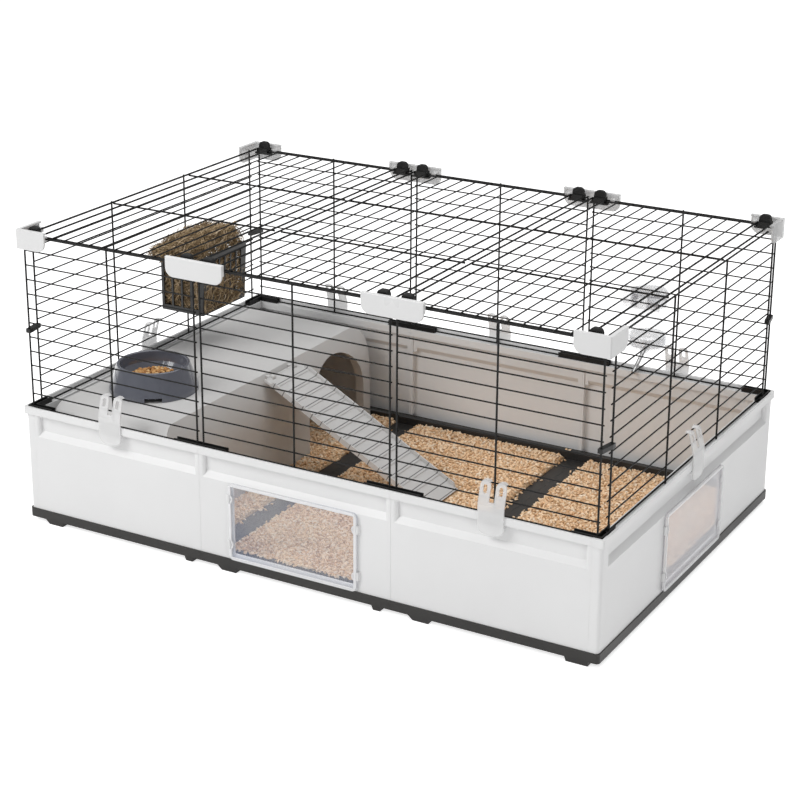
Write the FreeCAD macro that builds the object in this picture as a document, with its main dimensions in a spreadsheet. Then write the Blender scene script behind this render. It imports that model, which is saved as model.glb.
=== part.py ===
import FreeCAD, Part
import os
import re
import Sketcher

# Modular rabbit cage: three floor trays, moulded wall panels, welded wire
# grilles, hinged roof panels, two clear doors, a hideout with a ramp, a bowl,
# a hay rack and a water bottle. X runs along the front, Y from front to back,
# Z up. The origin is the middle of the bounding box, on the floor.

# Driving dimensions in millimetres and degrees: name, value, what it sets
SIZES = [
    ("module_width", 358, "width of one of the three modules"),
    ("cage_depth", 720, "front to back over the rims"),
    ("foot_height", 8, "floor to the underside of the trays"),
    ("skirt_height", 16, "dark tray edge that shows below the walls"),
    ("curb_rise", 5, "tray curb above the seat of the walls"),
    ("curb_width", 28, "tray edge to the inner face of the curb"),
    ("seam_curb", 24, "width of the seam strip beside a seam between two trays"),
    ("seam_rise", 2, "seam strip above the tray floor"),
    ("tray_skin", 2.5, "tray thickness"),
    ("tray_inset", 1, "tray edge behind the rim"),
    ("joint_gap", 0.3, "gap between neighbouring trays and panels"),
    ("foot_width", 40, "long foot under a tray"),
    ("foot_slope", 12, "run of the foot's sloped end"),
    ("foot_offset", 28, "tray edge to the long foot"),
    ("stud_width", 17, "short foot under a tray"),
    ("stud_offset", 18, "tray edge to the short foot"),
    ("wall_height", 186, "wall seat to the top of the rim"),
    ("wall_skin", 2.5, "wall thickness"),
    ("wall_inset", 3, "wall face behind the rim face"),
    ("rim_lip", 5, "width of the raised outer lip of the rim"),
    ("lip_rise", 7, "lip above the ledge that carries the grilles"),
    ("rim_depth", 20, "rim from front to back"),
    ("rim_drop", 13, "height of the rim band"),
    ("recess_depth", 8, "hand-hold recess below the rim"),
    ("recess_height", 29, "straight part of the recess"),
    ("recess_slope", 10, "height of the recess's sloped sill"),
    ("recess_end", 10, "panel end to the recess"),
    ("recess_round", 6, "rounding of the recess's ends"),
    ("edge_round", 1.2, "small rounding of moulded edges"),
    ("flange_depth", 16, "end flange of a wall panel"),
    ("flange_skin", 3, "thickness of an end flange"),
    ("post_round", 6, "rounding of a corner post"),
    ("door_width", 240, "clear door"),
    ("door_height", 134, "clear door"),
    ("door_skin", 2.2, "clear plate of a door"),
    ("door_border", 5, "raised border of a door"),
    ("door_rise", 3, "border above the plate"),
    ("door_gap", 0.4, "door to the wall"),
    ("door_round", 8, "rounding of a door's corners"),
    ("door_sill", 2.2, "wall left standing at the foot of a doorway"),
    ("door_lift", 1, "door above the wall's foot"),
    ("scallop_radius", 8.5, "raised scallop round a hinge eye or stud of a door"),
    ("pin_radius", 1.6, "hinge pin of a door"),
    ("pin_gap", 0.15, "radial clearance of hinge pins and hinge wires"),
    ("eye_radius", 2.95, "hinge eye outside"),
    ("eye_height", 14, "hinge eye along the pin"),
    ("eye_spread", 80, "distance between the two hinge eyes"),
    ("wire_thick", 3.2, "frame wires and uprights"),
    ("wire_thin", 2.4, "cross wires"),
    ("weld_gap", 0.05, "gap between two layers of wire"),
    ("wire_inset", 10, "rim face to the axis of the uprights"),
    ("wire_pitch", 25.2, "pitch of the cross wires"),
    ("wire_end", 2, "cross wire past the last upright"),
    ("seam_margin", 6, "seam to the last upright"),
    ("corner_margin", 15, "cage corner to the last upright, front and back"),
    ("side_margin", 37, "cage corner to the last upright, sides"),
    ("bar_wall", 2, "foot bar side"),
    ("bar_floor", 1.5, "foot bar bottom"),
    ("bar_height", 9, "foot bar"),
    ("bar_length", 100, "foot bar at a seam"),
    ("bar_arm", 55, "foot bar at a corner, each way"),
    ("fit_gap", 0.3, "clearance round the wires"),
    ("cap_inset", 3, "top cap face behind the rim face"),
    ("cap_skin", 3, "top cap thickness"),
    ("cap_height", 33, "top cap"),
    ("cap_rise", 12, "top cap above the top wires"),
    ("cap_length", 108, "top cap at a seam"),
    ("cap_arm", 62, "corner cap along the front or back"),
    ("cap_side", 62, "corner cap along the side"),
    ("cap_flange", 6.5, "depth of a cap's top flange"),
    ("cap_round", 15, "rounding of a cap's lower corners"),
    ("lug_width", 8, "lug inside a cap"),
    ("lug_place", 44, "seam to the lug"),
    ("lug_wall", 2.4, "lug round the wire"),
    ("roof_step", 8, "top wire to the roof's edge wire"),
    ("roof_end", 20, "cage side to the outer roof wire"),
    ("roof_seam", 8, "seam to the outer roof wire"),
    ("roof_tail", 0.4, "long roof wires past the axis of the rear wire"),
    ("catch_width", 21, "roof catch between two wires"),
    ("catch_wing", 6.5, "catch foot beyond the catch on each side"),
    ("catch_drop", 6, "catch below the edge wires"),
    ("catch_floor", 2.4, "thickness of the catch foot"),
    ("catch_top", 5.5, "catch body above the edge wires"),
    ("tab_height", 12, "finger tab above the catch body"),
    ("tab_thick", 8, "finger tab"),
    ("tie_height", 7, "corner tie along the wires"),
    ("tie_wall", 4, "wire axis to the face of a corner tie"),
    ("clip_width", 44, "rim clip"),
    ("clip_skin", 2.6, "rim clip thickness"),
    ("clip_gap", 0.4, "rim clip to the rim"),
    ("clip_drop", 32, "rim top down to the end of the clip"),
    ("clip_neck", 13, "rim top up to the bend of the clip"),
    ("clip_slot", 9, "slot between the two prongs"),
    ("clip_round", 14, "rounding of the clip's end"),
    ("eyelet_radius", 3.4, "hole in a prong"),
    ("bead_radius", 2, "pivot bead of a clip"),
    ("hide_skin", 3, "hideout wall"),
    ("hide_left", 30, "cage side to the hideout's foot"),
    ("hide_foot", 279, "cage side to the foot of the entrance wall"),
    ("hide_top", 257, "cage side to the top of the entrance wall"),
    ("hide_gap", 6, "tray curb to the hideout's front and back"),
    ("hide_draft", 6, "lean of the other walls, foot to top"),
    ("hide_drop", 5, "shelf below the top of the rim"),
    ("hide_round", 34, "rounding of the shelf's front and back edges"),
    ("hide_knee", 45, "shelf's edge down to the bend of the entrance wall"),
    ("hide_bow", 150, "radius of that bend"),
    ("arch_width", 194, "entrance arch"),
    ("arch_jamb", 82, "floor to the spring of the arch"),
    ("arch_place", 202, "cage middle to the middle of the arch"),
    ("arch_collar", 14, "depth of the collar inside the arch"),
    ("ramp_width", 112, "ramp"),
    ("ramp_angle", 28.5, "slope of the ramp"),
    ("ramp_place", 30, "cage middle to the middle of the ramp"),
    ("ramp_skin", 4, "ramp plate"),
    ("ramp_edge", 6, "raised edge of the ramp"),
    ("ramp_edge_skin", 3, "thickness of the raised edge"),
    ("ramp_rib", 1.2, "height of the grip ribs"),
    ("ramp_pitch", 22, "pitch of the grip ribs"),
    ("ramp_out", 13, "entrance wall's top edge to the ramp's pivot"),
    ("ramp_low", 6, "shelf to the ramp's pivot"),
    ("rod_radius", 2.5, "ramp pivot rod"),
    ("ear_radius", 5, "ear that holds the ramp's rod"),
    ("ear_width", 9, "ear along the rod"),
    ("ear_spread", 70, "distance between the ears"),
    ("litter_rise", 10, "litter above the tray floor"),
    ("litter_round", 7, "rounding of the litter's edges"),
    ("mound_rise", 3.5, "mound above the litter"),
    ("bowl_foot", 78, "bowl radius at the foot"),
    ("bowl_rim", 63, "bowl radius at the rim"),
    ("bowl_height", 48, "bowl"),
    ("bowl_lip", 5, "width of the bowl's rim"),
    ("bowl_floor", 14, "bowl floor above the shelf"),
    ("bowl_base", 44, "radius of the bowl's floor"),
    ("bowl_shell", 3.5, "thickness of the bowl"),
    ("bowl_notch", 30, "finger notch in the bowl's foot"),
    ("bowl_notch_rise", 8, "height of the finger notch"),
    ("bowl_across", 130, "cage side to the middle of the bowl"),
    ("bowl_forward", 160, "hideout's front to the middle of the bowl"),
    ("feed_rise", 16, "feed above the bowl's floor"),
    ("rack_width", 135, "hay rack along the side"),
    ("rack_place", 86.5, "cage middle to the middle of the rack"),
    ("rack_back", 17.5, "cage side to the back of the rack"),
    ("rack_floor", 90, "depth of the rack's floor"),
    ("rack_mouth", 96, "depth of the rack's mouth"),
    ("rack_height", 108, "hay rack"),
    ("rack_skin", 2.5, "thickness of the rack"),
    ("rack_slot", 14, "slot in the rack's front"),
    ("rack_bar", 4, "bar between two slots of the rack's ends"),
    ("hook_width", 14, "hook of the rack"),
    ("hook_skin", 2.5, "thickness of a hook"),
    ("hay_rise", 32, "hay above the rack's mouth"),
    ("hay_over", 46, "hay past the rack's front end"),
    ("bottle_radius", 32, "water bottle"),
    ("bottle_skin", 1.6, "bottle thickness"),
    ("bottle_height", 128, "bottle above its cap's floor"),
    ("bottle_dome", 10, "rounding of the bottle's top"),
    ("bottle_side", 49, "rim clip to the axis of the bottle"),
    ("bottle_out", 30, "rim face to the axis of the bottle"),
    ("cup_skin", 2.4, "bottle cap"),
    ("cup_height", 20, "bottle cap"),
    ("cup_low", 30, "cap's underside above the rim"),
    ("boss_radius", 8, "spout boss on the cap"),
    ("boss_length", 16, "spout boss"),
    ("spout_radius", 4, "spout tube"),
    ("spout_bore", 3.1, "bore of the spout"),
    ("spout_length", 62, "spout tube"),
    ("spout_angle", 58, "spout from the vertical"),
    ("spout_neck", 2.3, "mouth of the spout, which keeps the ball in"),
    ("ball_radius", 2.7, "ball in the spout"),
    ("spout_lip", 0.6, "length of the spout's mouth"),
    ("ball_gap", 0.3, "ball to its seat"),
    ("ring_skin", 2.2, "bottle bracket ring"),
    ("ring_height", 24, "bottle bracket ring"),
    ("ring_rise", 78, "cap's underside to the bracket ring"),
    ("plate_width", 70, "bottle bracket plate"),
    ("plate_height", 40, "bottle bracket plate"),
    ("plate_skin", 2.4, "bottle bracket plate"),
]

doc = FreeCAD.newDocument("rabbit_cage")
sheet = doc.addObject("Spreadsheet::Sheet", "Sizes")
for row, (name, value, note) in enumerate(SIZES, 1):
    sheet.set("A%d" % row, name)
    sheet.set("B%d" % row, str(value))
    sheet.setAlias("B%d" % row, name)
    sheet.set("C%d" % row, note)
doc.recompute()

# Counts: cross wires above the lowest, long roof wires, slots of the rack's front
# and ends, and the cross wires that carry the rack and the bottle's bracket
RUNGS = 12
ROOF_WIRES = 14
RACK_SLOTS = 6
RACK_END_SLOTS = 4
RACK_RUNG = 7
BRACKET_RUNG = 5

MODULES = ("left", "mid", "right")
SIZE_NAME = re.compile(r"\b(%s)\b" % "|".join(name for name, value, note in SIZES))
NODES = []


# Expressions over the sheet

def bound(text):
    """The expression with the sheet's name before each size."""
    return SIZE_NAME.sub(r"Sizes.\1", str(text))


def size(text):
    """The value of an expression over the sheet."""
    return float(sheet.evalExpression(bound(text)))


def tie(thing, prop, text):
    """Binds a property to an expression over the sheet."""
    thing.setExpression(prop, bound(text))


# Levels above the floor
SEAT = "(foot_height + skirt_height)"
TRAY_FLOOR = "(foot_height + tray_skin)"
CURB = f"({SEAT} + curb_rise)"
RIM = f"({SEAT} + wall_height)"
LEDGE = f"({RIM} - lip_rise)"
BAND = f"({RIM} - rim_drop)"
SILL = f"({BAND} - recess_height)"
RECESS_FOOT = f"({SILL} - recess_slope)"
WIRE_FOOT = f"({LEDGE} + bar_floor + fit_gap)"
WIRE_LOW = f"({WIRE_FOOT} + wire_thick / 2)"
WIRE_TOP = f"({WIRE_LOW} + {RUNGS} * wire_pitch)"
CAP_TOP = f"({WIRE_TOP} + cap_rise)"
CAP_LOW = f"({CAP_TOP} - cap_height)"
SHELF = f"({RIM} - hide_drop)"
LITTER = f"({TRAY_FLOOR} + litter_rise)"
DOOR_LOW = f"({SEAT} + door_lift)"

# Places across the cage
BOTTLE_REACH = "(bottle_out + bottle_radius + fit_gap + cup_skin)"
CLIP_REACH = "(clip_gap + clip_skin)"
MID = f"(({CLIP_REACH} - {BOTTLE_REACH}) / 2)"
HALF = "(1.5 * module_width)"
FRONT = f"({MID} - cage_depth / 2)"
BACK = f"({MID} + cage_depth / 2)"
HIDE_DEPTH = "(cage_depth - 2 * (tray_inset + curb_width + hide_gap))"
CENTRES = {"left": "-module_width", "mid": "0", "right": "module_width"}

# Wire layers, measured inward from the rim face
UPRIGHT = "wire_inset"
THIN_LAYER = "(wire_inset + wire_thick / 2 + weld_gap + wire_thin / 2)"
FRAME_LAYER = "(wire_inset + wire_thick + weld_gap)"
ROOF_EDGE = f"({FRAME_LAYER} + roof_step)"
ROOF_BED = f"({WIRE_TOP} + wire_thick / 2 + weld_gap)"

TURN = {"front": 0, "back": 180, "left": -90, "right": 90}


# Drawing helpers

def plane_of(body, role):
    return next(item for item in body.Origin.OriginFeatures if item.Role == role)


def new_body(label):
    body = doc.addObject("PartDesign::Body", label)
    body.Label = label
    return body


def new_sketch(body, name, role, lift):
    sketch = body.newObject("Sketcher::SketchObject", name)
    sketch.AttachmentSupport = (plane_of(body, role), [""])
    sketch.MapMode = "FlatFace"
    tie(sketch, "AttachmentOffset.Base.z", lift)
    return sketch


def pin_down(sketch, kind, edge, spot, text):
    """Holds one coordinate of a point at an expression."""
    index = sketch.addConstraint(Sketcher.Constraint(kind, edge, spot, size(text)))
    tie(sketch, "Constraints[%d]" % index, text)


def draw_outline(sketch, points):
    """A closed outline of straight lines through (across, up) expressions."""
    first = sketch.GeometryCount
    count = len(points)
    spots = [FreeCAD.Vector(size(across), size(up), 0) for across, up in points]
    for here, there in zip(spots, spots[1:] + spots[:1]):
        sketch.addGeometry(Part.LineSegment(here, there))
    for step in range(count):
        after = first + (step + 1) % count
        sketch.addConstraint(Sketcher.Constraint("Coincident", first + step, 2, after, 1))
    for step, (across, up) in enumerate(points):
        pin_down(sketch, "DistanceX", first + step, 1, across)
        pin_down(sketch, "DistanceY", first + step, 1, up)


def draw_circle(sketch, across, up, radius):
    middle = FreeCAD.Vector(size(across), size(up), 0)
    ring = sketch.addGeometry(Part.Circle(middle, FreeCAD.Vector(0, 0, 1), size(radius)))
    pin_down(sketch, "DistanceX", ring, 3, across)
    pin_down(sketch, "DistanceY", ring, 3, up)
    index = sketch.addConstraint(Sketcher.Constraint("Radius", ring, size(radius)))
    tie(sketch, "Constraints[%d]" % index, radius)


def box_outline(left, right, low, high):
    return [(left, low), (right, low), (right, high), (left, high)]


def fill_sketch(sketch, loops):
    for loop in loops:
        if isinstance(loop, tuple):
            draw_circle(sketch, *loop)
        else:
            draw_outline(sketch, loop)


# The sketch plane that faces along each axis. The XZ plane faces backwards.
FACING = {"x": "YZ_Plane", "y": "XZ_Plane", "z": "XY_Plane"}


def slab(body, name, axis, start, end, loops, cut=False):
    """A pad, or a pocket, of the loops from start to end along an axis."""
    backwards = axis == "y"
    lift = f"-({start})" if backwards else start
    sketch = new_sketch(body, name + "_sketch", FACING[axis], lift)
    fill_sketch(sketch, loops)
    feature = body.newObject("PartDesign::Pocket" if cut else "PartDesign::Pad", name)
    feature.Profile = sketch
    feature.Reversed = backwards != cut
    tie(feature, "Length", f"({end}) - ({start})")
    sketch.Visibility = False
    return feature


def carve(body, name, axis, start, end, loops):
    return slab(body, name, axis, start, end, loops, cut=True)


def spin(body, name, points):
    """A revolution of an outline, given as radius and height, about Z."""
    sketch = new_sketch(body, name + "_sketch", "XZ_Plane", "0")
    draw_outline(sketch, points)
    feature = body.newObject("PartDesign::Revolution", name)
    feature.Profile = sketch
    feature.ReferenceAxis = (sketch, ["V_Axis"])
    feature.Angle = 360
    return feature


def mirror(body, name, originals, role):
    feature = body.newObject("PartDesign::Mirrored", name)
    feature.Originals = originals
    feature.MirrorPlane = (plane_of(body, role), [""])
    body.Tip = feature
    return feature


def repeat(body, name, originals, role, length, count):
    feature = body.newObject("PartDesign::LinearPattern", name)
    feature.Originals = originals
    feature.Direction = (plane_of(body, role), [""])
    tie(feature, "Length", length)
    tie(feature, "Occurrences", count)
    body.Tip = feature
    return feature


def straight_edges(feature, axis, **places):
    """Names of the edges along an axis that pass through the given places."""
    doc.recompute()
    others = [letter for letter in "xyz" if letter != axis]
    found = []
    for number, edge in enumerate(feature.Shape.Edges, 1):
        ends = [vertex.Point for vertex in edge.Vertexes]
        if len(ends) != 2:
            continue
        if any(abs(getattr(ends[0], letter) - getattr(ends[1], letter)) > 0.01 for letter in others):
            continue
        hits = [any(abs(getattr(ends[0], letter) - size(text)) < 0.01 for text in texts)
                for letter, texts in places.items()]
        if all(hits):
            found.append("Edge%d" % number)
    return found


def round_edges(body, name, feature, radius, axis, **places):
    fillet = body.newObject("PartDesign::Fillet", name)
    fillet.Base = (feature, straight_edges(feature, axis, **places))
    tie(fillet, "Radius", radius)
    body.Tip = fillet
    return fillet


def edges_in_plane(feature, axis, place):
    """Names of the edges that lie wholly in a plane across an axis."""
    doc.recompute()
    level = size(place)
    found = []
    for number, edge in enumerate(feature.Shape.Edges, 1):
        box = edge.BoundBox
        low = getattr(box, axis.upper() + "Min")
        high = getattr(box, axis.upper() + "Max")
        if abs(low - level) < 0.01 and abs(high - level) < 0.01:
            found.append("Edge%d" % number)
    return found


def soften(body, name, feature, radius, axis, place):
    """Rounds every edge of a feature that lies in a plane across an axis."""
    fillet = body.newObject("PartDesign::Fillet", name)
    fillet.Base = (feature, edges_in_plane(feature, axis, place))
    tie(fillet, "Radius", radius)
    body.Tip = fillet
    return fillet


def put(thing, across, along, up, turn=0, about=(0, 0, 1)):
    """Places an object, turned about an axis through its own origin."""
    thing.Placement = FreeCAD.Placement(FreeCAD.Vector(), FreeCAD.Rotation(FreeCAD.Vector(*about), turn))
    tie(thing, "Placement.Base.x", across)
    tie(thing, "Placement.Base.y", along)
    tie(thing, "Placement.Base.z", up)


def face_place(face, along, inward="0"):
    """Where a point of a face lies: along the face and inward from its rim."""
    return {
        "front": (along, f"{FRONT} + {inward}"),
        "back": (along, f"{BACK} - ({inward})"),
        "left": (f"-{HALF} + {inward}", f"{MID} + {along}"),
        "right": (f"{HALF} - ({inward})", f"{MID} + {along}"),
    }[face]


def stand(thing, face, along):
    """Puts a piece on a face of the cage: its X along the face, its Y inward."""
    across, depth = face_place(face, along)
    put(thing, across, depth, "0", TURN[face])


def keep(thing):
    """Marks an object as one of the cage's sub-parts."""
    NODES.append(thing)
    return thing


def group(label, members):
    """One sub-part made of several separate solids."""
    compound = doc.addObject("Part::Compound", label)
    compound.Label = label
    compound.Links = members
    return keep(compound)


def copy_of(body, label):
    link = doc.addObject("App::Link", label)
    link.LinkedObject = body
    return link


def boolean(kind, name, base, tool):
    joined = doc.addObject(kind, name)
    joined.Base = base
    joined.Tool = tool
    return joined


# Floor trays

SEAM_FREE = {"low": "left", "high": "right"}


def build_tray(place):
    body = new_body("floor_tray_" + place)
    edge = {side: "module_width / 2 - joint_gap / 2" for side in ("low", "high")}
    curb = {side: "-joint_gap" for side in ("low", "high")}
    rim = {side: "joint_gap" for side in ("low", "high")}
    for side, end in SEAM_FREE.items():
        if place == end:
            edge[side] = "module_width / 2 - tray_inset"
            curb[side] = "curb_width"
            rim[side] = "rim_depth + fit_gap"
    depth = "(cage_depth / 2 - tray_inset)"

    def outline(low, high, ends):
        return box_outline(f"-({edge['low']}) + {low}", f"{edge['high']} - ({high})",
                           f"-{depth} + {ends}", f"{depth} - ({ends})")

    skirt = slab(body, "skirt", "z", "foot_height", SEAT, [outline("0", "0", "0")])
    outer = {"left": f"-({edge['low']})", "right": edge["high"]}.get(place)
    if outer:
        round_edges(body, "skirt_corners", skirt, "post_round", "z", x=[outer])
    slab(body, "curb", "z", SEAT, CURB, [outline(rim["low"], rim["high"], "rim_depth + fit_gap")])
    carve(body, "basin", "z", TRAY_FLOOR, f"{CURB} + curb_rise",
          [outline(curb["low"], curb["high"], "curb_width")])
    high = f"({SEAT} - tray_skin)"
    under = box_outline(f"-({edge['low']}) + tray_skin", f"{edge['high']} - tray_skin",
                        f"-{depth} + tray_skin", f"-{depth} + curb_width - tray_skin")
    trough = carve(body, "trough", "z", "foot_height", high, [under])
    mirror(body, "rear_trough", [trough], "XZ_Plane")
    for side, sign in (("low", "-"), ("high", "")):
        insets = ("tray_skin", "curb_width - tray_skin", "seam_curb", "0")
        span = [f"{sign}({edge[side]} - ({inset}))" for inset in insets]
        if place == SEAM_FREE[side]:
            carve(body, f"{side}_trough", "z", "foot_height", high,
                  [box_outline(*sorted(span[:2], key=size), f"-{depth} + tray_skin", f"{depth} - tray_skin")])
        else:
            slab(body, f"{side}_strip", "z", "foot_height", f"{TRAY_FLOOR} + seam_rise",
                 [box_outline(*sorted(span[2:], key=size), f"-{depth} + curb_width - tray_skin / 2",
                              f"{depth} - curb_width + tray_skin / 2")])

    left = f"(-({edge['low']}) + foot_offset)"
    right = f"({left} + foot_width)"
    top = "(foot_height + tray_skin)"
    near = f"-{depth} + tray_skin / 2"
    foot = slab(body, "foot", "y", near, f"-{depth} + curb_width",
                [[(left, top), (f"{left} + foot_slope", "0"), (right, "0"), (right, top)]])
    if place == "right":
        start = f"({edge['high']} - stud_offset - foot_width)"
        width = "foot_width"
    else:
        start = f"({edge['high']} - stud_offset - stud_width)"
        width = "stud_width"
    stud = slab(body, "stud", "y", near, f"-{depth} + curb_width",
                [[(start, top), (f"{start} + foot_height / 2", "0"),
                  (f"{start} + {width}", "0"), (f"{start} + {width}", top)]])
    mirror(body, "rear_feet", [foot, stud], "XZ_Plane")
    put(body, CENTRES[place], MID, "0")
    return keep(body)


# Moulded wall panels

def wall_section():
    outside = [
        ("wall_inset", SEAT),
        ("wall_inset", RECESS_FOOT),
        ("wall_inset + recess_depth", SILL),
        ("wall_inset + recess_depth", BAND),
        ("0", BAND),
        ("0", RIM),
        ("rim_lip", RIM),
        ("rim_lip", LEDGE),
        ("rim_depth", LEDGE),
    ]
    inside = [
        ("rim_depth", f"{LEDGE} - rim_drop"),
        ("rim_depth - wall_skin", f"{LEDGE} - rim_drop"),
        ("rim_depth - wall_skin", f"{LEDGE} - wall_skin"),
        ("wall_inset + recess_depth + wall_skin", f"{LEDGE} - wall_skin"),
        ("wall_inset + recess_depth + wall_skin", f"{SILL} - 0.4 * wall_skin"),
        ("wall_inset + wall_skin", f"{RECESS_FOOT} - 0.4 * wall_skin"),
        ("wall_inset + wall_skin", SEAT),
    ]
    return outside + inside


EYE_MID = f"({DOOR_LOW} + door_height / 2)"
EYES = (f"({EYE_MID} - eye_spread / 2)", f"({EYE_MID} + eye_spread / 2)")
HINGE = "(-door_width / 2)"


def add_doorway(body):
    """The opening, the two hinge eyes and the two snap studs of a door."""
    inset = "(door_border + wall_skin)"
    carve(body, "doorway", "y", "-rim_depth", "rim_depth * 2",
          [box_outline(f"-door_width / 2 + {inset}", f"door_width / 2 - {inset}",
                       f"{DOOR_LOW} + {inset} + door_sill", f"{DOOR_LOW} + door_height - {inset}")])
    for number, middle in enumerate(EYES):
        low = f"({middle} - eye_height / 2)"
        high = f"({middle} + eye_height / 2)"
        slab(body, "eye_neck%d" % number, "z", low, high,
             [box_outline(f"{HINGE} - pin_radius", f"{HINGE} + pin_radius",
                          "0", "wall_inset + wall_skin / 2")])
        slab(body, "eye%d" % number, "z", low, high, [(HINGE, "0", "eye_radius")])
        start = "(door_width / 2 + door_gap)"
        slab(body, "snap%d" % number, "z", low, high,
             [[(start, "wall_inset + wall_skin / 2"), (start, "-door_skin"),
               (f"{start} + door_border / 2", "-door_skin"),
               (f"{start} + door_border", "wall_inset + wall_skin / 2")]])
    return carve(body, "eye_bore", "z", f"{EYES[0]} - eye_height", f"{EYES[1]} + eye_height",
                 [(HINGE, "0", "pin_radius + pin_gap")])


def build_wall(label, face, along, length, doorway=False):
    body = new_body(label)
    half = f"({length} / 2)"
    section = slab(body, "section", "x", f"-{half}", half, [wall_section()])
    section = round_edges(body, "rim_edges", section, "edge_round", "x", y=["0"], z=[RIM, BAND])
    round_edges(body, "lip_edge", section, "edge_round", "x", y=["rim_lip"], z=[RIM])
    end = slab(body, "recess_stop", "x", f"{half} - recess_end", half,
               [box_outline("wall_inset", "wall_inset + recess_depth + wall_skin",
                            RECESS_FOOT, f"{BAND} + wall_skin")])
    flange = slab(body, "flange", "x", f"{half} - flange_skin", half,
                  [box_outline("wall_inset", "flange_depth",
                               f"{CURB} + fit_gap", f"{LEDGE} - wall_skin / 2")])
    both = mirror(body, "other_end", [end, flange], "YZ_Plane")
    stop = f"({half} - recess_end)"
    round_edges(body, "recess_corners", both, "recess_round", "z", x=[stop, f"-{stop}"], y=["wall_inset"])
    if doorway:
        body.Tip = add_doorway(body)
    stand(body, face, along)
    return keep(body)


def build_door(label, face, along):
    """A clear door with a raised border and a hinge pin along one edge."""
    body = new_body(label)
    right = "door_width / 2"
    high = f"{DOOR_LOW} + door_height"
    back = "(wall_inset - door_gap)"
    plate = box_outline(HINGE, right, DOOR_LOW, high)
    inner = box_outline(f"{HINGE} + door_border", f"{right} - door_border",
                        f"{DOOR_LOW} + door_border", f"{high} - door_border")
    slab(body, "plate", "y", f"{back} - door_skin", back, [plate])
    proud = f"{back} - door_skin - door_rise"
    border = slab(body, "border", "y", proud, back, [plate, inner])
    border = round_edges(body, "corners", border, "door_round", "y", x=[HINGE, right], z=[DOOR_LOW, high])
    soften(body, "border_edges", border, "edge_round / 2", "y", proud)
    for number, middle in enumerate(EYES):
        for end, spot in (("hinge", HINGE), ("latch", right)):
            slab(body, f"{end}_scallop{number}", "y", proud, back,
                 [(spot, middle, "scallop_radius"), (spot, middle, "scallop_radius - door_border / 2")])
    trims = {"hinge": (f"{HINGE} - 2 * scallop_radius", HINGE),
             "latch": (right, f"{right} + 2 * scallop_radius")}
    for end, sides in trims.items():
        carve(body, f"{end}_trim", "y", "-rim_depth", "rim_depth", [box_outline(*sides, DOOR_LOW, high)])
    for number, middle in enumerate(EYES):
        reach = "eye_height / 2 + door_gap"
        carve(body, "eye_notch%d" % number, "y", "-rim_depth", "rim_depth",
              [box_outline(f"{HINGE} - eye_radius", f"{HINGE} + eye_radius + 2 * door_gap",
                           f"{middle} - ({reach})", f"{middle} + {reach}")])
    slab(body, "pin", "z", f"{DOOR_LOW} + door_border", f"{high} - door_border", [(HINGE, "0", "pin_radius")])
    stand(body, face, along)
    return keep(body)


CORNERS = (("left_front", "-", FRONT, 0), ("right_front", "", FRONT, 90),
           ("right_back", "", BACK, 180), ("left_back", "-", BACK, -90))


def at_corner(thing, sign, depth, turn):
    put(thing, f"{sign}{HALF}", depth, "0", turn)


def build_posts():
    """Hollow posts that close the four corners of the walls."""
    body = new_body("corner_post")
    block = box_outline("wall_inset", "rim_depth", "wall_inset", "rim_depth")
    column = slab(body, "column", "z", SEAT, BAND, [block])
    round_edges(body, "column_edge", column, "post_round", "z", x=["wall_inset"], y=["wall_inset"])
    slab(body, "rim", "z", BAND, LEDGE, [box_outline("0", "rim_depth", "0", "rim_depth")])
    lip = [("0", "0"), ("rim_depth", "0"), ("rim_depth", "rim_lip"), ("rim_lip", "rim_lip"),
           ("rim_lip", "rim_depth"), ("0", "rim_depth")]
    lip = slab(body, "lip", "z", LEDGE, RIM, [lip])
    round_edges(body, "rim_edge", lip, "post_round / 2", "z", x=["0"], y=["0"])
    inner = "wall_inset + post_round"
    far = "rim_depth - wall_skin"
    carve(body, "core", "z", SEAT, f"{LEDGE} - 2 * wall_skin", [box_outline(inner, far, inner, far)])
    members = []
    for number, (corner, sign, depth, turn) in enumerate(CORNERS):
        piece = body if number == 0 else copy_of(body, "corner_post_" + corner)
        at_corner(piece, sign, depth, turn)
        members.append(piece)
    group("corner_posts", members)


# Welded wire grilles, in two layers

ALONG = {"x": FreeCAD.Rotation(FreeCAD.Vector(0, 1, 0), 90),
         "y": FreeCAD.Rotation(FreeCAD.Vector(1, 0, 0), -90),
         "z": FreeCAD.Rotation()}


def wire(name, axis, middle, length, thickness):
    """A straight wire along an axis, centred on middle."""
    rod = doc.addObject("Part::Cylinder", name)
    rod.Placement = FreeCAD.Placement(FreeCAD.Vector(), ALONG[axis])
    tie(rod, "Radius", f"{thickness} / 2")
    tie(rod, "Height", length)
    for letter, text in zip("xyz", middle):
        start = f"{text} - ({length}) / 2" if letter == axis else text
        tie(rod, "Placement.Base." + letter, start)
    return rod


def build_grille(label, face, low, high, uprights):
    """A wall grille from low to high along its face."""
    run = "x" if face in ("front", "back") else "y"
    length = f"({high} - ({low}) + 2 * wire_end)"
    middle = f"(({low} + {high}) / 2)"
    rods = []
    tall = f"({WIRE_TOP} + wire_thick / 2 - {WIRE_FOOT})"
    for step in range(uprights):
        spot = f"({low} + ({high} - ({low})) * {step} / {uprights - 1})"
        across, depth = face_place(face, spot, UPRIGHT)
        spot = (across, depth, f"{WIRE_FOOT} + {tall} / 2")
        rods.append(wire(f"{label}_upright{step}", "z", spot, tall, "wire_thick"))
    for rung in range(RUNGS + 1):
        edge = rung in (0, RUNGS)
        across, depth = face_place(face, middle, FRAME_LAYER if edge else THIN_LAYER)
        thickness = "wire_thick" if edge else "wire_thin"
        height = f"{WIRE_LOW} + {rung} * wire_pitch"
        rods.append(wire(f"{label}_rung{rung}", run, (across, depth, height), length, thickness))
    return group(label, rods)


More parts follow.
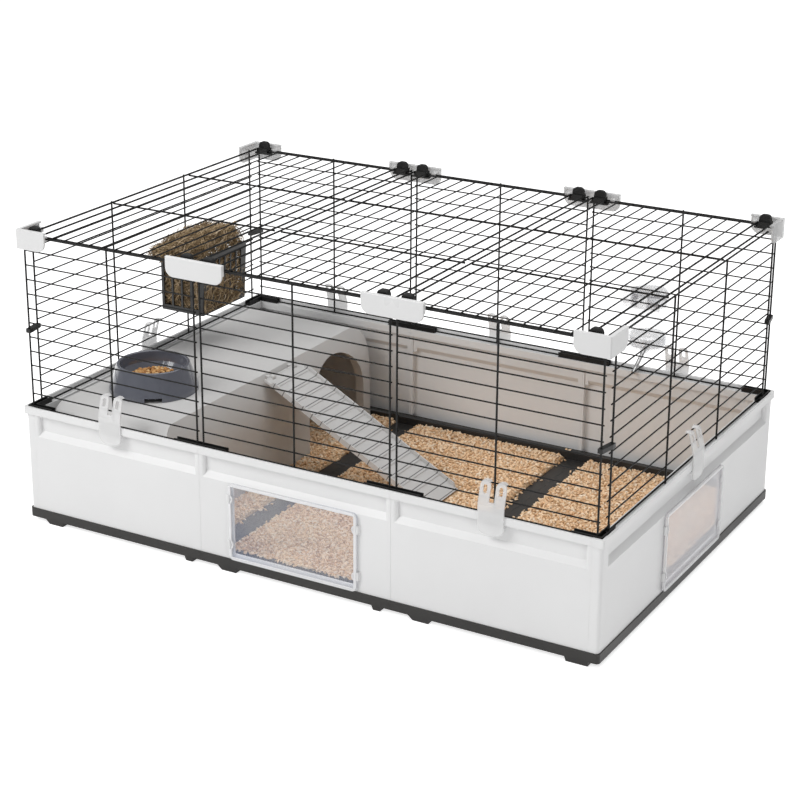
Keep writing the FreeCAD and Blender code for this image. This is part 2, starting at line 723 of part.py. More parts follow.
ROOF_SPAN = {
    "left": (f"(-{HALF} + roof_end)", "(-module_width / 2 - roof_seam)"),
    "mid": ("(-module_width / 2 + roof_seam)", "(module_width / 2 - roof_seam)"),
    "right": ("(module_width / 2 + roof_seam)", f"({HALF} - roof_end)"),
}


def roof_spot(place, step):
    low, high = ROOF_SPAN[place]
    return f"({low} + ({high} - {low}) * {step} / {ROOF_WIRES - 1})"


def build_roof(place):
    """A roof grille: long wires that rest on the front wall's top wire."""
    label = "roof_grille_" + place
    low, high = ROOF_SPAN[place]
    rods = []
    start = f"({FRONT} + {FRAME_LAYER} - wire_thick / 2)"
    end = f"({BACK} - {ROOF_EDGE} + roof_tail)"
    for step in range(ROOF_WIRES):
        outer = step in (0, 1, ROOF_WIRES - 2, ROOF_WIRES - 1)
        thickness = "wire_thick" if outer else "wire_thin"
        spot = (roof_spot(place, step), f"({start} + {end}) / 2", f"{ROOF_BED} + {thickness} / 2")
        rods.append(wire(f"{label}_long{step}", "y", spot, f"({end} - {start})", thickness))
    cross = [f"({FRONT} + {ROOF_EDGE})", f"({BACK} - {ROOF_EDGE})"]
    thirds = [f"({cross[0]} + ({cross[1]} - {cross[0]}) * {step} / 3)" for step in (1, 2)]
    middle = f"({low} + {high}) / 2"
    for step, depth in enumerate([cross[0], thirds[0], thirds[1], cross[1]]):
        rods.append(wire(f"{label}_cross{step}", "x", (middle, depth, WIRE_TOP),
                         f"({high} - {low} + wire_thick)", "wire_thick"))
    return group(label, rods)


# Roof catches

def catch_body(label, hinged):
    """A catch between two roof wires, in a frame on the wall's top wire: Y inward."""
    body = new_body(label)
    half = "catch_width / 2"
    wide = "(catch_width / 2 + catch_wing)"
    clear = "(wire_thick / 2 + fit_gap)"
    back = "(-wire_thick / 2 - catch_floor)" if hinged else f"-{clear} - catch_floor"
    front = "roof_step + wire_thick / 2 + catch_floor"
    slab(body, "block", "x", f"-({half})", half, [box_outline(back, front, "-catch_drop", "catch_top")])
    slab(body, "foot", "x", f"-{wide}", wide,
         [box_outline(clear, front, "-catch_drop", "-wire_thick / 2 - 4 * fit_gap")])
    tab = slab(body, "tab", "y", "roof_step / 2 - tab_thick / 2", "roof_step / 2 + tab_thick / 2",
               [[(f"-({half})", "catch_top"), (half, "catch_top"),
                 (f"{half} * 0.9", "catch_top + tab_height"), (f"-{half} * 0.9", "catch_top + tab_height")]])
    top = "catch_top + tab_height"
    body.Tip = tab
    round_edges(body, "tab_corners", tab, "tab_height * 0.6", "y",
                x=[f"{half} * 0.9", f"-{half} * 0.9"], z=[top])
    grip = "wire_thick / 2 + pin_gap"
    carve(body, "edge_bore", "x", f"-{wide}", wide, [("roof_step", "0", grip)])
    if hinged:
        carve(body, "wall_bore", "x", f"-{wide}", wide, [("0", "0", grip)])
    else:
        carve(body, "wall_slot", "x", f"-{wide}", wide,
              [box_outline(f"-{clear}", clear, "-catch_drop * 2", clear)])
    return body


def catch_spots(place):
    """Middles of the two outer gaps between a roof panel's long wires."""
    gaps = ((0, 1), (ROOF_WIRES - 2, ROOF_WIRES - 1))
    return [f"(({roof_spot(place, first)} + {roof_spot(place, second)}) / 2)" for first, second in gaps]


def build_catches():
    front = catch_body("front_catch", hinged=False)
    rear = catch_body("rear_catch", hinged=True)
    rear_members = []
    for place in MODULES:
        members = []
        for number, spot in enumerate(catch_spots(place)):
            first = place == "left" and number == 0
            piece = front if first else copy_of(front, f"front_catch_{place}{number}")
            put(piece, spot, f"{FRONT} + {FRAME_LAYER}", WIRE_TOP)
            members.append(piece)
            piece = rear if first else copy_of(rear, f"rear_catch_{place}{number}")
            put(piece, spot, f"{BACK} - {FRAME_LAYER}", WIRE_TOP, 180)
            rear_members.append(piece)
        group("front_catches_" + place, members)
    group("rear_catches", rear_members)


# White caps along the top edge

def add_lug(body, number, axis, middle):
    """A lug that reaches in from the cap and holds the wall's top wire."""
    radius = "wire_thick / 2 + pin_gap"
    start = "cap_inset + cap_skin / 2"
    end = f"{FRAME_LAYER} + {radius} + lug_wall"
    low = f"{WIRE_TOP} - ({radius}) - lug_wall"
    high = f"{WIRE_TOP} + {radius} + lug_wall"
    first = f"{middle} - lug_width / 2"
    last = f"{middle} + lug_width / 2"
    slab(body, f"lug{number}", axis, first, last, [box_outline(start, end, low, high)])
    hole = (FRAME_LAYER, WIRE_TOP, radius)
    return carve(body, f"lug_bore{number}", axis, f"{first} - lug_wall", f"{last} + lug_wall", [hole])


def joint_cap(label):
    """A cap over the seam between two wall grilles."""
    body = new_body(label)
    half = "(cap_length / 2)"
    plate = slab(body, "plate", "y", "cap_inset", "cap_inset + cap_skin",
                 [box_outline(f"-{half}", half, CAP_LOW, CAP_TOP)])
    round_edges(body, "plate_corners", plate, "cap_round", "y", x=[f"-{half}", half], z=[CAP_LOW])
    slab(body, "flange", "z", f"{CAP_TOP} - cap_skin", CAP_TOP,
         [box_outline(f"-{half}", half, "cap_inset", "cap_inset + cap_flange")])
    end = slab(body, "end", "x", f"{half} - cap_skin", half,
               [box_outline("cap_inset", "cap_inset + cap_flange", f"{CAP_LOW} + cap_round", CAP_TOP)])
    mirror(body, "other_end", [end], "YZ_Plane")
    add_lug(body, 0, "x", "lug_place")
    last = add_lug(body, 1, "x", "-lug_place")
    soften(body, "face_edges", last, "edge_round", "y", "cap_inset")
    return body


def build_joint_caps():
    body = joint_cap("joint_cap")
    for face in ("front", "back"):
        members = []
        for number, along in enumerate(("-module_width / 2", "module_width / 2")):
            first = face == "front" and number == 0
            piece = body if first else copy_of(body, f"joint_cap_{face}{number}")
            stand(piece, face, along)
            members.append(piece)
        group(f"{face}_joint_caps", members)


def build_corner_cap(corner, sign, depth, turn):
    """A three-way cap: two plates, a top flange and a lug each way."""
    body = new_body("corner_cap_" + corner)
    arms = ("cap_arm", "cap_side") if turn in (0, 180) else ("cap_side", "cap_arm")
    inner = "cap_inset + cap_skin"
    slab(body, "first_plate", "y", "cap_inset", inner,
         [box_outline("cap_inset", arms[0], CAP_LOW, CAP_TOP)])
    second = slab(body, "second_plate", "x", "cap_inset", inner,
                  [box_outline("cap_inset", arms[1], CAP_LOW, CAP_TOP)])
    fillet = round_edges(body, "first_corner", second, "cap_round", "y", x=[arms[0]], z=[CAP_LOW])
    fillet = round_edges(body, "second_corner", fillet, "cap_round", "x", y=[arms[1]], z=[CAP_LOW])
    round_edges(body, "outer_edge", fillet, "cap_skin * 0.8", "z", x=["cap_inset"], y=["cap_inset"])
    reach = "cap_inset + cap_flange"
    flange = [(inner, inner), (arms[0], inner), (arms[0], reach),
              (reach, reach), (reach, arms[1]), (inner, arms[1])]
    slab(body, "flange", "z", f"{CAP_TOP} - cap_skin", CAP_TOP, [flange])
    add_lug(body, 0, "x", f"{arms[0]} - lug_width")
    radius = "wire_thick / 2 + pin_gap"
    start = f"{arms[1]} - lug_width * 1.5"
    end = f"{arms[1]} - lug_width / 2"
    inside = f"{FRAME_LAYER} + {radius} + lug_wall"
    low = f"{WIRE_TOP} - ({radius}) - lug_wall"
    high = f"{WIRE_TOP} + {radius} + lug_wall"
    slab(body, "side_lug", "y", start, end, [box_outline("cap_inset + cap_skin / 2", inside, low, high)])
    carve(body, "side_bore", "y", f"{start} - lug_wall", f"{end} + lug_wall",
          [(FRAME_LAYER, WIRE_TOP, radius)])
    at_corner(body, sign, depth, turn)
    return keep(body)


# Black foot bars on the rim and ties at the corners

BAR_OUT = "(wire_inset - wire_thick / 2 - fit_gap)"
BAR_IN = f"({FRAME_LAYER} + wire_thick / 2 + fit_gap)"


def build_foot_bars():
    straight = new_body("seam_bar")
    half = "(bar_length / 2)"
    top = f"{LEDGE} + bar_height"
    floor = f"{LEDGE} + bar_floor"
    section = [(f"{BAR_OUT} - bar_wall", LEDGE), (f"{BAR_IN} + bar_wall", LEDGE),
               (f"{BAR_IN} + bar_wall", top), (BAR_IN, top), (BAR_IN, floor),
               (BAR_OUT, floor), (BAR_OUT, top), (f"{BAR_OUT} - bar_wall", top)]
    slab(straight, "channel", "x", f"-{half}", half, [section])
    members = []
    for face in ("front", "back"):
        for number, along in enumerate(("-module_width / 2", "module_width / 2")):
            piece = copy_of(straight, f"seam_bar_{face}{number}") if members else straight
            stand(piece, face, along)
            members.append(piece)
    group("seam_foot_bars", members)

    corner = new_body("corner_bar")
    low = f"{BAR_OUT} - bar_wall"
    high = f"{BAR_IN} + bar_wall"
    plan = [(low, low), ("bar_arm", low), ("bar_arm", high),
            (high, high), (high, "bar_arm"), (low, "bar_arm")]
    slot = [(BAR_OUT, BAR_OUT), ("bar_arm * 2", BAR_OUT), ("bar_arm * 2", BAR_IN), (BAR_IN, BAR_IN),
            (BAR_IN, "bar_arm * 2"), (BAR_OUT, "bar_arm * 2")]
    slab(corner, "angle", "z", LEDGE, top, [plan])
    carve(corner, "slot", "z", floor, f"{top} + bar_height", [slot])
    members = []
    for number, (name, sign, depth, turn) in enumerate(CORNERS):
        piece = corner if number == 0 else copy_of(corner, "corner_bar_" + name)
        at_corner(piece, sign, depth, turn)
        members.append(piece)
    group("corner_foot_bars", members)


def tie_plan(near, far):
    """Outline round a near wire along X and a far wire along Y."""
    low = "wire_inset - tie_wall"
    high = "wire_inset + tie_wall"
    return [(f"{near} - tie_wall", low), (f"{near} + tie_wall", low), (f"{near} + tie_wall", high),
            (high, f"{far} + tie_wall"), (low, f"{far} + tie_wall"), (low, f"{far} - tie_wall")]


def corner_tie(label, swapped):
    """A tie round the two neighbouring uprights of a corner, between two rungs."""
    body = new_body(label)
    plan = tie_plan("corner_margin", "side_margin")
    wires = [("corner_margin", "wire_inset"), ("wire_inset", "side_margin")]
    if swapped:
        plan = [(up, across) for across, up in plan]
        wires = [(up, across) for across, up in wires]
    middle = f"({WIRE_LOW} + {RUNGS - 1} * wire_pitch / 2)"
    bottom = f"({middle} - tie_height / 2)"
    top = f"({middle} + tie_height / 2)"
    slab(body, "link", "z", bottom, top, [plan])
    radius = "wire_thick / 2 + pin_gap"
    carve(body, "bores", "z", f"{bottom} - tie_height", f"{top} + tie_height",
          [(across, up, radius) for across, up in wires])
    return body


def build_corner_ties():
    members = []
    for name, sign, depth, turn in CORNERS:
        piece = corner_tie("corner_tie_" + name, swapped=turn in (90, -90))
        at_corner(piece, sign, depth, turn)
        members.append(piece)
    group("corner_wire_ties", members)


# Rim clips, which pivot under the rim and hook over the second rung

CLIP_PLACE = "((module_width - corner_margin + seam_margin) / 2 + module_width / 2)"
PIVOT_DEPTH = "(bead_radius + clip_gap)"
PIVOT_HEIGHT = f"({BAND} - bead_radius - 2 * clip_gap)"
HOOK = f"({WIRE_LOW} + 2 * wire_pitch + wire_thin / 2 + clip_gap)"


def build_rim_clip(label, face, along):
    body = new_body(label)
    half = "clip_width / 2"
    inner = "(-clip_gap)"
    outer = "(-clip_gap - clip_skin)"
    low = f"({RIM} - clip_drop)"
    bend = f"({RIM} + clip_neck)"
    shoulder = f"({UPRIGHT} - wire_thick / 2)"
    tip = f"({THIN_LAYER} + wire_thin)"
    profile = [(outer, low), (inner, low), (inner, bend), (shoulder, HOOK), (tip, HOOK),
               (tip, f"{HOOK} + clip_skin"), (f"{shoulder} - clip_skin / 2", f"{HOOK} + clip_skin"),
               (outer, f"{bend} + clip_skin / 2")]
    strip = slab(body, "strip", "x", f"-({half})", half, [profile])
    round_edges(body, "tab_corners", strip, "clip_round", "y", x=[half, f"-({half})"], z=[low])
    carve(body, "slot", "y", "-rim_depth", "rim_depth * 2",
          [box_outline("-clip_slot / 2", "clip_slot / 2", f"{bend} + clip_neck / 2", f"{HOOK} + rim_depth")])
    prong = "(clip_width + clip_slot) / 4"
    hole = f"({HOOK} - 2 * eyelet_radius)"
    for number, drop in enumerate(("0", "eyelet_radius", "2 * eyelet_radius")):
        carve(body, f"eyelets{number}", "y", "-rim_depth", "rim_depth * 2",
              [(f"{sign}{prong}", f"{hole} - {drop}", "eyelet_radius") for sign in ("", "-")])
    top = f"({HOOK} + clip_skin)"
    taper = "((clip_width - clip_slot) / 6)"
    corners = []
    for sign in ("", "-"):
        for edge, way in ((half, ""), ("clip_slot / 2", "-")):
            side = f"{sign}({edge})"
            toward = "-" if (sign == "") == (way == "") else "+"
            away = "+" if toward == "-" else "-"
            corners.append([(f"{side} {toward} {taper}", f"{top} + clip_skin"),
                            (f"{side} {toward} {taper}", top),
                            (f"{side} {toward} {taper} * 0.3", f"{top} - {taper} * 0.4"),
                            (side, f"{top} - {taper} * 1.2"),
                            (f"{side} {away} fit_gap", f"{top} - {taper} * 1.2"),
                            (f"{side} {away} fit_gap", f"{top} + clip_skin")])
    carve(body, "prong_tips", "y", "-rim_depth", "rim_depth * 2", corners)
    slab(body, "web", "x", f"-({half})", half,
         [box_outline(f"{inner} - clip_skin / 2", PIVOT_DEPTH,
                      f"{PIVOT_HEIGHT} - bead_radius * 0.7", f"{PIVOT_HEIGHT} + bead_radius * 0.7")])
    slab(body, "bead", "x", f"-({half})", half, [(PIVOT_DEPTH, PIVOT_HEIGHT, "bead_radius")])
    stand(body, face, along)
    return keep(body)


# Hideout and ramp

PIVOT_X = "(hide_top + ramp_out)"
PIVOT_Z = f"({SHELF} - ramp_low)"
RAMP_DROP = f"({PIVOT_Z} - {LITTER} - fit_gap - ramp_skin / 2 * cos(ramp_angle * 1 deg))"
RAMP_LENGTH = f"(ramp_skin + {RAMP_DROP} / sin(ramp_angle * 1 deg))"


def hide_block(label, inset):
    """The hideout as a solid block with rounded front and back edges, inset all round."""
    body = new_body(label)
    deep = f"({HIDE_DEPTH} / 2 - {inset})"
    high = f"({deep} - hide_draft)"
    low = f"({TRAY_FLOOR} + weld_gap)"
    roof = f"({SHELF} - {inset})"
    foot = f"(hide_foot - {inset})"
    edge = f"(hide_top - {inset})"
    block = slab(body, "block", "x", f"hide_left + {inset}", foot,
                 [[(f"-{deep}", low), (deep, low), (high, roof), (f"-{high}", roof)]])
    round_edges(body, "front_back_edges", block, f"hide_round - {inset}", "x", y=[f"-{high}", high], z=[roof])
    knee = f"({roof} - hide_knee)"
    lean = carve(body, "lean", "y", f"-{deep} * 2", f"{deep} * 2",
                 [[(foot, knee), (f"{foot} * 2", knee), (f"{foot} * 2", f"{roof} * 2"),
                   (edge, f"{roof} * 2"), (edge, roof)]])
    round_edges(body, "entrance_bend", lean, f"hide_bow - {inset}", "y", x=[foot], z=[knee])
    put(body, f"-{HALF}", MID, "0")
    return body


def build_hideout():
    """The hideout: a hollow block with an arched entrance and two ears for the ramp."""
    body = hide_block("hide_block", "0")
    side = "arch_width / 2"
    inside = "(hide_top * 0.8)"
    outside = "hide_foot + 2 * hide_skin"
    carve(body, "doorway", "x", inside, outside,
          [box_outline(f"arch_place - {side}", f"arch_place + {side}", "0", "arch_jamb")])
    carve(body, "arch", "x", inside, outside, [("arch_place", "arch_jamb", side)])
    for number, sign in enumerate("-+"):
        middle = f"(ramp_place {sign} ear_spread / 2)"
        low = f"({middle} - ear_width / 2)"
        high = f"({middle} + ear_width / 2)"
        slab(body, f"ear_neck{number}", "y", low, high,
             [box_outline("hide_top - hide_skin", PIVOT_X,
                          f"{PIVOT_Z} - rod_radius", f"{PIVOT_Z} + rod_radius")])
        slab(body, f"ear{number}", "y", low, high, [(PIVOT_X, PIVOT_Z, "ear_radius")])
    body.Tip = carve(body, "rod_bore", "y", "ramp_place - ear_spread", "ramp_place + ear_spread",
                     [(PIVOT_X, PIVOT_Z, "rod_radius + pin_gap")])
    room = hide_block("hide_room", "hide_skin")
    grown = f"{side} + hide_skin"
    collar = "hide_foot - hide_skin - arch_collar"
    carve(room, "collar_jambs", "x", collar, outside,
          [box_outline(f"arch_place - ({grown})", f"arch_place + {grown}", "0", "arch_jamb")])
    carve(room, "collar_arch", "x", collar, outside, [("arch_place", "arch_jamb", grown)])
    shell = boolean("Part::Cut", "hideout_shelf", body, room)
    shell.Label = "hideout_shelf"
    return keep(shell)


def build_ramp():
    """The ramp in its own frame: X down the slope from the pivot rod, Z off its face."""
    body = new_body("ramp")
    half = "(ramp_width / 2)"
    slab(body, "plate", "y", f"-{half}", half,
         [[("0", "-ramp_skin / 2"), (f"{RAMP_LENGTH} - ramp_skin", "-ramp_skin / 2"),
           (RAMP_LENGTH, "ramp_skin / 2"), ("0", "ramp_skin / 2")]])
    start = "(ear_radius + ramp_skin)"
    edge = slab(body, "edge", "y", f"{half} - ramp_edge_skin", half,
                [[(start, "0"), (f"{RAMP_LENGTH} - ramp_skin", "0"),
                  (f"{RAMP_LENGTH} - 2 * ramp_edge", "ramp_skin / 2 + ramp_edge"),
                  (f"{start} + ramp_edge", "ramp_skin / 2 + ramp_edge")]])
    mirror(body, "other_edge", [edge], "XZ_Plane")
    rib = slab(body, "rib", "y", f"-{half}", half,
               [box_outline("ramp_pitch", "ramp_pitch + ramp_rib * 1.5", "0", "ramp_skin / 2 + ramp_rib")])
    count = f"(floor({RAMP_LENGTH} / ramp_pitch) - 1)"
    repeat(body, "ribs", [rib], "X_Axis", f"({count} - 1) * ramp_pitch", count)
    reach = "(ear_width / 2 + 2 * fit_gap)"
    for number, sign in enumerate("-+"):
        middle = f"({sign}ear_spread / 2)"
        notch = [box_outline("-rod_radius", "ear_radius + 4 * fit_gap",
                             f"{middle} - {reach}", f"{middle} + {reach}")]
        carve(body, f"ear_notch{number}", "z", "-ramp_skin", "ramp_skin", notch)
    body.Tip = slab(body, "rod", "y", f"-{half}", half, [("0", "0", "rod_radius")])
    put(body, f"-{HALF} + {PIVOT_X}", f"{MID} + ramp_place", PIVOT_Z, size("ramp_angle"), (0, 1, 0))
    tie(body, "Placement.Rotation.Angle", "ramp_angle")
    return keep(body)


# Contents of the cage

# Mounds of litter, as fractions of a bed's half width and half depth
MOUNDS = ((-0.5, -0.62), (0.45, -0.68), (0.1, -0.32), (-0.52, 0.02), (0.45, 0.5), (-0.3, 0.6))


def build_litter(place):
    """A heaped bed; the left one fills the hideout and comes out through its arch."""
    body = new_body("bed_" + place)
    deep = "(cage_depth / 2 - tray_inset - curb_width - fit_gap)"
    strip = "(module_width / 2 - seam_curb - 2 * fit_gap)"
    low = f"-{strip}"
    high = strip
    if place == "right":
        high = "(module_width / 2 - tray_inset - curb_width - fit_gap)"
    if place == "left":
        low = "(-module_width / 2 + hide_foot + 2 * fit_gap)"
    bottom = f"({TRAY_FLOOR} + weld_gap)"
    bed = slab(body, "bed", "z", bottom, LITTER, [box_outline(low, high, f"-{deep}", deep)])
    soften(body, "bed_edges", bed, "litter_round", "z", LITTER)
    if place == "left":
        inner = "(-module_width / 2 + hide_left + hide_skin + hide_draft)"
        wall = "(-module_width / 2 + hide_foot - hide_skin - arch_collar - 2 * fit_gap)"
        room = f"({HIDE_DEPTH} / 2 - hide_skin - hide_draft)"
        jamb = "(arch_width / 2 - fit_gap)"
        slab(body, "sill", "z", bottom, f"{LITTER} - litter_round / 2",
             [box_outline(f"{wall} - hide_skin", f"{low} + litter_round",
                          f"arch_place - {jamb}", f"arch_place + {jamb}")])
        body.Tip = slab(body, "room", "z", bottom, LITTER, [box_outline(inner, wall, f"-{room}", room)])
        low, high, deep = inner, wall, room
    put(body, CENTRES[place], MID, "0")
    heaps = [body]
    for number, (across, along) in enumerate(MOUNDS):
        mound = doc.addObject("Part::Ellipsoid", f"mound_{place}{number}")
        tie(mound, "Radius1", "mound_rise * 1.6")
        tie(mound, "Radius2", f"({high} - ({low})) / 5")
        tie(mound, "Radius3", f"{deep} * 0.22")
        put(mound, f"{CENTRES[place]} + ({low} + {high}) / 2 + ({high} - ({low})) / 2 * {across}",
            f"{MID} + {deep} * {along}", f"{LITTER} - mound_rise * 0.6")
        heaps.append(mound)
    bed = doc.addObject("Part::MultiFuse", "litter_" + place)
    bed.Shapes = heaps
    return keep(bed)


BOWL_X = f"(-{HALF} + bowl_across)"
BOWL_Y = f"({MID} - {HIDE_DEPTH} / 2 + bowl_forward)"


def build_bowl():
    body = new_body("food_bowl")
    inner = "(bowl_rim - bowl_lip)"
    profile = [("0", "bowl_floor"), ("bowl_base", "bowl_floor"),
               (f"{inner} - bowl_lip / 2", "bowl_height * 0.62"),
               (inner, "bowl_height"), ("bowl_rim", "bowl_height"), ("bowl_foot", "bowl_shell * 2"),
               ("bowl_foot", "0"), ("bowl_foot - bowl_shell", "0"),
               ("bowl_foot - bowl_shell", "bowl_shell * 2"),
               ("bowl_rim - bowl_lip / 2", "bowl_height * 0.5"),
               ("bowl_base + bowl_shell", "bowl_floor - bowl_shell"),
               ("0", "bowl_floor - bowl_shell")]
    turned = spin(body, "turned", profile)
    soften(body, "rim", turned, "bowl_lip * 0.4", "z", "bowl_height")
    half = "bowl_notch / 2"
    body.Tip = carve(body, "notches", "y", "-bowl_foot * 2", "bowl_foot * 2",
                     [box_outline(f"-{half}", half, "-bowl_shell", "bowl_notch_rise")])
    put(body, BOWL_X, BOWL_Y, f"{SHELF} + weld_gap", 35)
    return keep(body)


def build_feed():
    body = new_body("feed")
    low = "(bowl_floor + fit_gap)"
    spin(body, "heap", [("0", low), ("bowl_base - 2 * fit_gap", low),
                        ("bowl_base + 1.5 * bowl_shell", "bowl_floor + feed_rise * 0.6"),
                        ("bowl_base * 0.6", "bowl_floor + feed_rise * 0.85"),
                        ("0", "bowl_floor + feed_rise")])
    put(body, BOWL_X, BOWL_Y, f"{SHELF} + weld_gap")
    return keep(body)


RACK_TOP = f"({WIRE_LOW} + {RACK_RUNG} * wire_pitch + wire_thin / 2 + fit_gap + hook_skin)"
RACK_LOW = f"({RACK_TOP} - rack_height)"


def rack_outline(grow):
    """Trapezoid of the rack's side, grown or shrunk by a margin."""
    return [(f"rack_back - ({grow})", RACK_TOP), (f"rack_back - ({grow})", f"{RACK_LOW} - ({grow})"),
            (f"rack_back + rack_floor + {grow}", f"{RACK_LOW} - ({grow})"),
            (f"rack_back + rack_mouth + {grow}", RACK_TOP)]


def build_hay_rack():
    body = new_body("hay_rack")
    half = "(rack_width / 2)"
    slab(body, "basket", "y", f"-{half}", half, [rack_outline("0")])
    inner = [("rack_back + rack_skin", f"{RACK_TOP} + rack_skin"),
             ("rack_back + rack_skin", f"{RACK_LOW} + rack_skin"),
             ("rack_back + rack_floor - rack_skin / 2", f"{RACK_LOW} + rack_skin"),
             ("rack_back + rack_mouth - rack_skin", f"{RACK_TOP} + rack_skin")]
    carve(body, "hollow", "y", f"-{half} + rack_skin", f"{half} - rack_skin", [inner])
    pitch = f"((rack_width - 2 * rack_slot) / {RACK_SLOTS})"
    first = f"(-{half} + rack_slot + {pitch} / 2)"
    slot = carve(body, "slot", "x", "rack_back + 2 * rack_skin", "rack_back + rack_mouth * 2",
                 [box_outline(f"{first} - rack_slot / 2", f"{first} + rack_slot / 2",
                              f"{RACK_LOW} + 4 * rack_skin", f"{RACK_TOP} - 4 * rack_skin")])
    repeat(body, "slots", [slot], "Y_Axis", f"{pitch} * {RACK_SLOTS - 1}", RACK_SLOTS)
    pitch = f"((rack_floor - 3 * rack_skin) / {RACK_END_SLOTS})"
    first = "(rack_back + 2 * rack_skin)"
    slot = carve(body, "end_slot", "y", "-rack_width", "rack_width",
                 [box_outline(first, f"{first} + {pitch} - rack_bar",
                              f"{RACK_LOW} + 4 * rack_skin", f"{RACK_TOP} - 4 * rack_skin")])
    repeat(body, "end_slots", [slot], "X_Axis", f"{pitch} * {RACK_END_SLOTS - 1}", RACK_END_SLOTS)
    under = f"{RACK_TOP} - hook_skin"
    outer = f"({THIN_LAYER} - wire_thin / 2 - fit_gap)"
    for number, sign in enumerate("-+"):
        middle = f"({sign}rack_width / 4)"
        low = f"{middle} - hook_width / 2"
        high = f"{middle} + hook_width / 2"
        body.Tip = slab(body, f"hook{number}", "y", low, high,
                        [[("rack_back + rack_skin / 2", RACK_TOP), (f"{outer} - hook_skin", RACK_TOP),
                          (f"{outer} - hook_skin", f"{under} - 2 * hook_skin"),
                          (outer, f"{under} - 2 * hook_skin"),
                          (outer, under), ("rack_back + rack_skin / 2", under)]])
    put(body, f"-{HALF}", f"{MID} + rack_place", "0")
    return keep(body)


def build_hay():
    body = new_body("hay")
    half = "(rack_width / 2 - rack_skin - 2 * fit_gap)"
    back = "(rack_back + rack_skin + fit_gap)"
    low = f"({RACK_LOW} + rack_skin + fit_gap)"
    slab(body, "bundle", "y", f"-{half}", half,
         [[(back, low), ("rack_back + rack_floor - rack_skin / 2 - 2 * fit_gap", low),
           ("rack_back + rack_mouth - 2 * rack_skin - 2 * fit_gap", RACK_TOP),
           ("rack_back + rack_mouth * 0.8", f"{RACK_TOP} + hay_rise"),
           (back, f"{RACK_TOP} + hay_rise * 0.7")]])
    body.Tip = slab(body, "tuft", "y", f"-{half} - hay_over", f"-{half} + rack_skin",
                    [[(back, f"{RACK_TOP} + fit_gap"),
                      ("rack_back + rack_mouth * 0.7", f"{RACK_TOP} + fit_gap"),
                      ("rack_back + rack_mouth * 0.6", f"{RACK_TOP} + hay_rise * 0.8"),
                      (back, f"{RACK_TOP} + hay_rise * 0.5")]])
    put(body, f"-{HALF}", f"{MID} + rack_place", "0")
    return keep(body)


# Water bottle outside the back grille

BOTTLE_X = f"({CLIP_PLACE} - clip_width / 2 - bottle_side)"
BOTTLE_Y = f"({BACK} + bottle_out)"
CUP_LOW = f"({RIM} + cup_low)"


def build_bottle():
    body = new_body("bottle")
    low = f"({CUP_LOW} + cup_skin + fit_gap)"
    top = f"({low} + bottle_height)"
    inner = "bottle_radius - bottle_skin"
    spin(body, "blown", [(inner, low), ("bottle_radius", low), ("bottle_radius", f"{top} - bottle_dome"),
                         ("bottle_radius - bottle_dome", top), ("0", top), ("0", f"{top} - bottle_skin"),
                         ("bottle_radius - bottle_dome - bottle_skin / 2", f"{top} - bottle_skin"),
                         (inner, f"{top} - bottle_dome - bottle_skin / 2")])
    put(body, BOTTLE_X, BOTTLE_Y, "0")
    return keep(body)


SPOUT_ROOT = f"({CUP_LOW} + cup_skin / 2)"
SPOUT_START = "(boss_length / 2 + weld_gap)"


def on_spout(thing, start):
    """Lays an object's Z along the spout, from a start below the bottle's cap."""
    thing.Placement = FreeCAD.Placement(FreeCAD.Vector(), FreeCAD.Rotation(FreeCAD.Vector(1, 0, 0), 180))
    tie(thing, "Placement.Rotation.Angle", "180 - spout_angle")
    tie(thing, "Placement.Base.x", BOTTLE_X)
    tie(thing, "Placement.Base.y", f"{BOTTLE_Y} - ({start}) * sin(spout_angle * 1 deg)")
    tie(thing, "Placement.Base.z", f"{SPOUT_ROOT} - ({start}) * cos(spout_angle * 1 deg)")


def spout_rod(name, radius, start, length):
    rod = doc.addObject("Part::Cylinder", name)
    tie(rod, "Radius", radius)
    tie(rod, "Height", length)
    on_spout(rod, start)
    return rod


def build_bottle_cap():
    """The bottle's cap: a cup with a slanted boss for the spout."""
    body = new_body("cup")
    inner = "bottle_radius + fit_gap"
    outer = "bottle_radius + fit_gap + cup_skin"
    top = f"{CUP_LOW} + cup_height"
    floor = f"{CUP_LOW} + cup_skin"
    spin(body, "turned", [("0", CUP_LOW), (outer, CUP_LOW), (outer, top),
                          (inner, top), (inner, floor), ("0", floor)])
    put(body, BOTTLE_X, BOTTLE_Y, "0")
    solid = boolean("Part::Fuse", "cup_with_boss", body, spout_rod("boss", "boss_radius", "0", "boss_length"))
    socket = spout_rod("socket", "spout_radius + pin_gap", "boss_length / 2", "boss_length")
    drain = spout_rod("drain", "spout_neck", "-boss_length", "boss_length * 2")
    cap = boolean("Part::Cut", "bottle_cap", boolean("Part::Cut", "cup_with_socket", solid, socket), drain)
    cap.Label = "bottle_cap"
    return keep(cap)


def build_spout():
    """A tube along Z with a narrow mouth, and the ball behind that mouth."""
    body = new_body("spout")
    mouth = "spout_length - spout_lip"
    spin(body, "tube", [("spout_bore", "0"), ("spout_radius", "0"), ("spout_radius", mouth),
                        ("spout_radius - spout_lip", "spout_length"), ("spout_neck", "spout_length"),
                        ("spout_neck", mouth), ("spout_bore", mouth)])
    on_spout(body, SPOUT_START)
    keep(body)
    ball = doc.addObject("Part::Sphere", "spout_ball")
    ball.Label = "spout_ball"
    tie(ball, "Radius", "ball_radius")
    seat = "sqrt((ball_radius + ball_gap) * (ball_radius + ball_gap) - spout_neck * spout_neck)"
    on_spout(ball, f"{SPOUT_START} + {mouth} - {seat}")
    keep(ball)


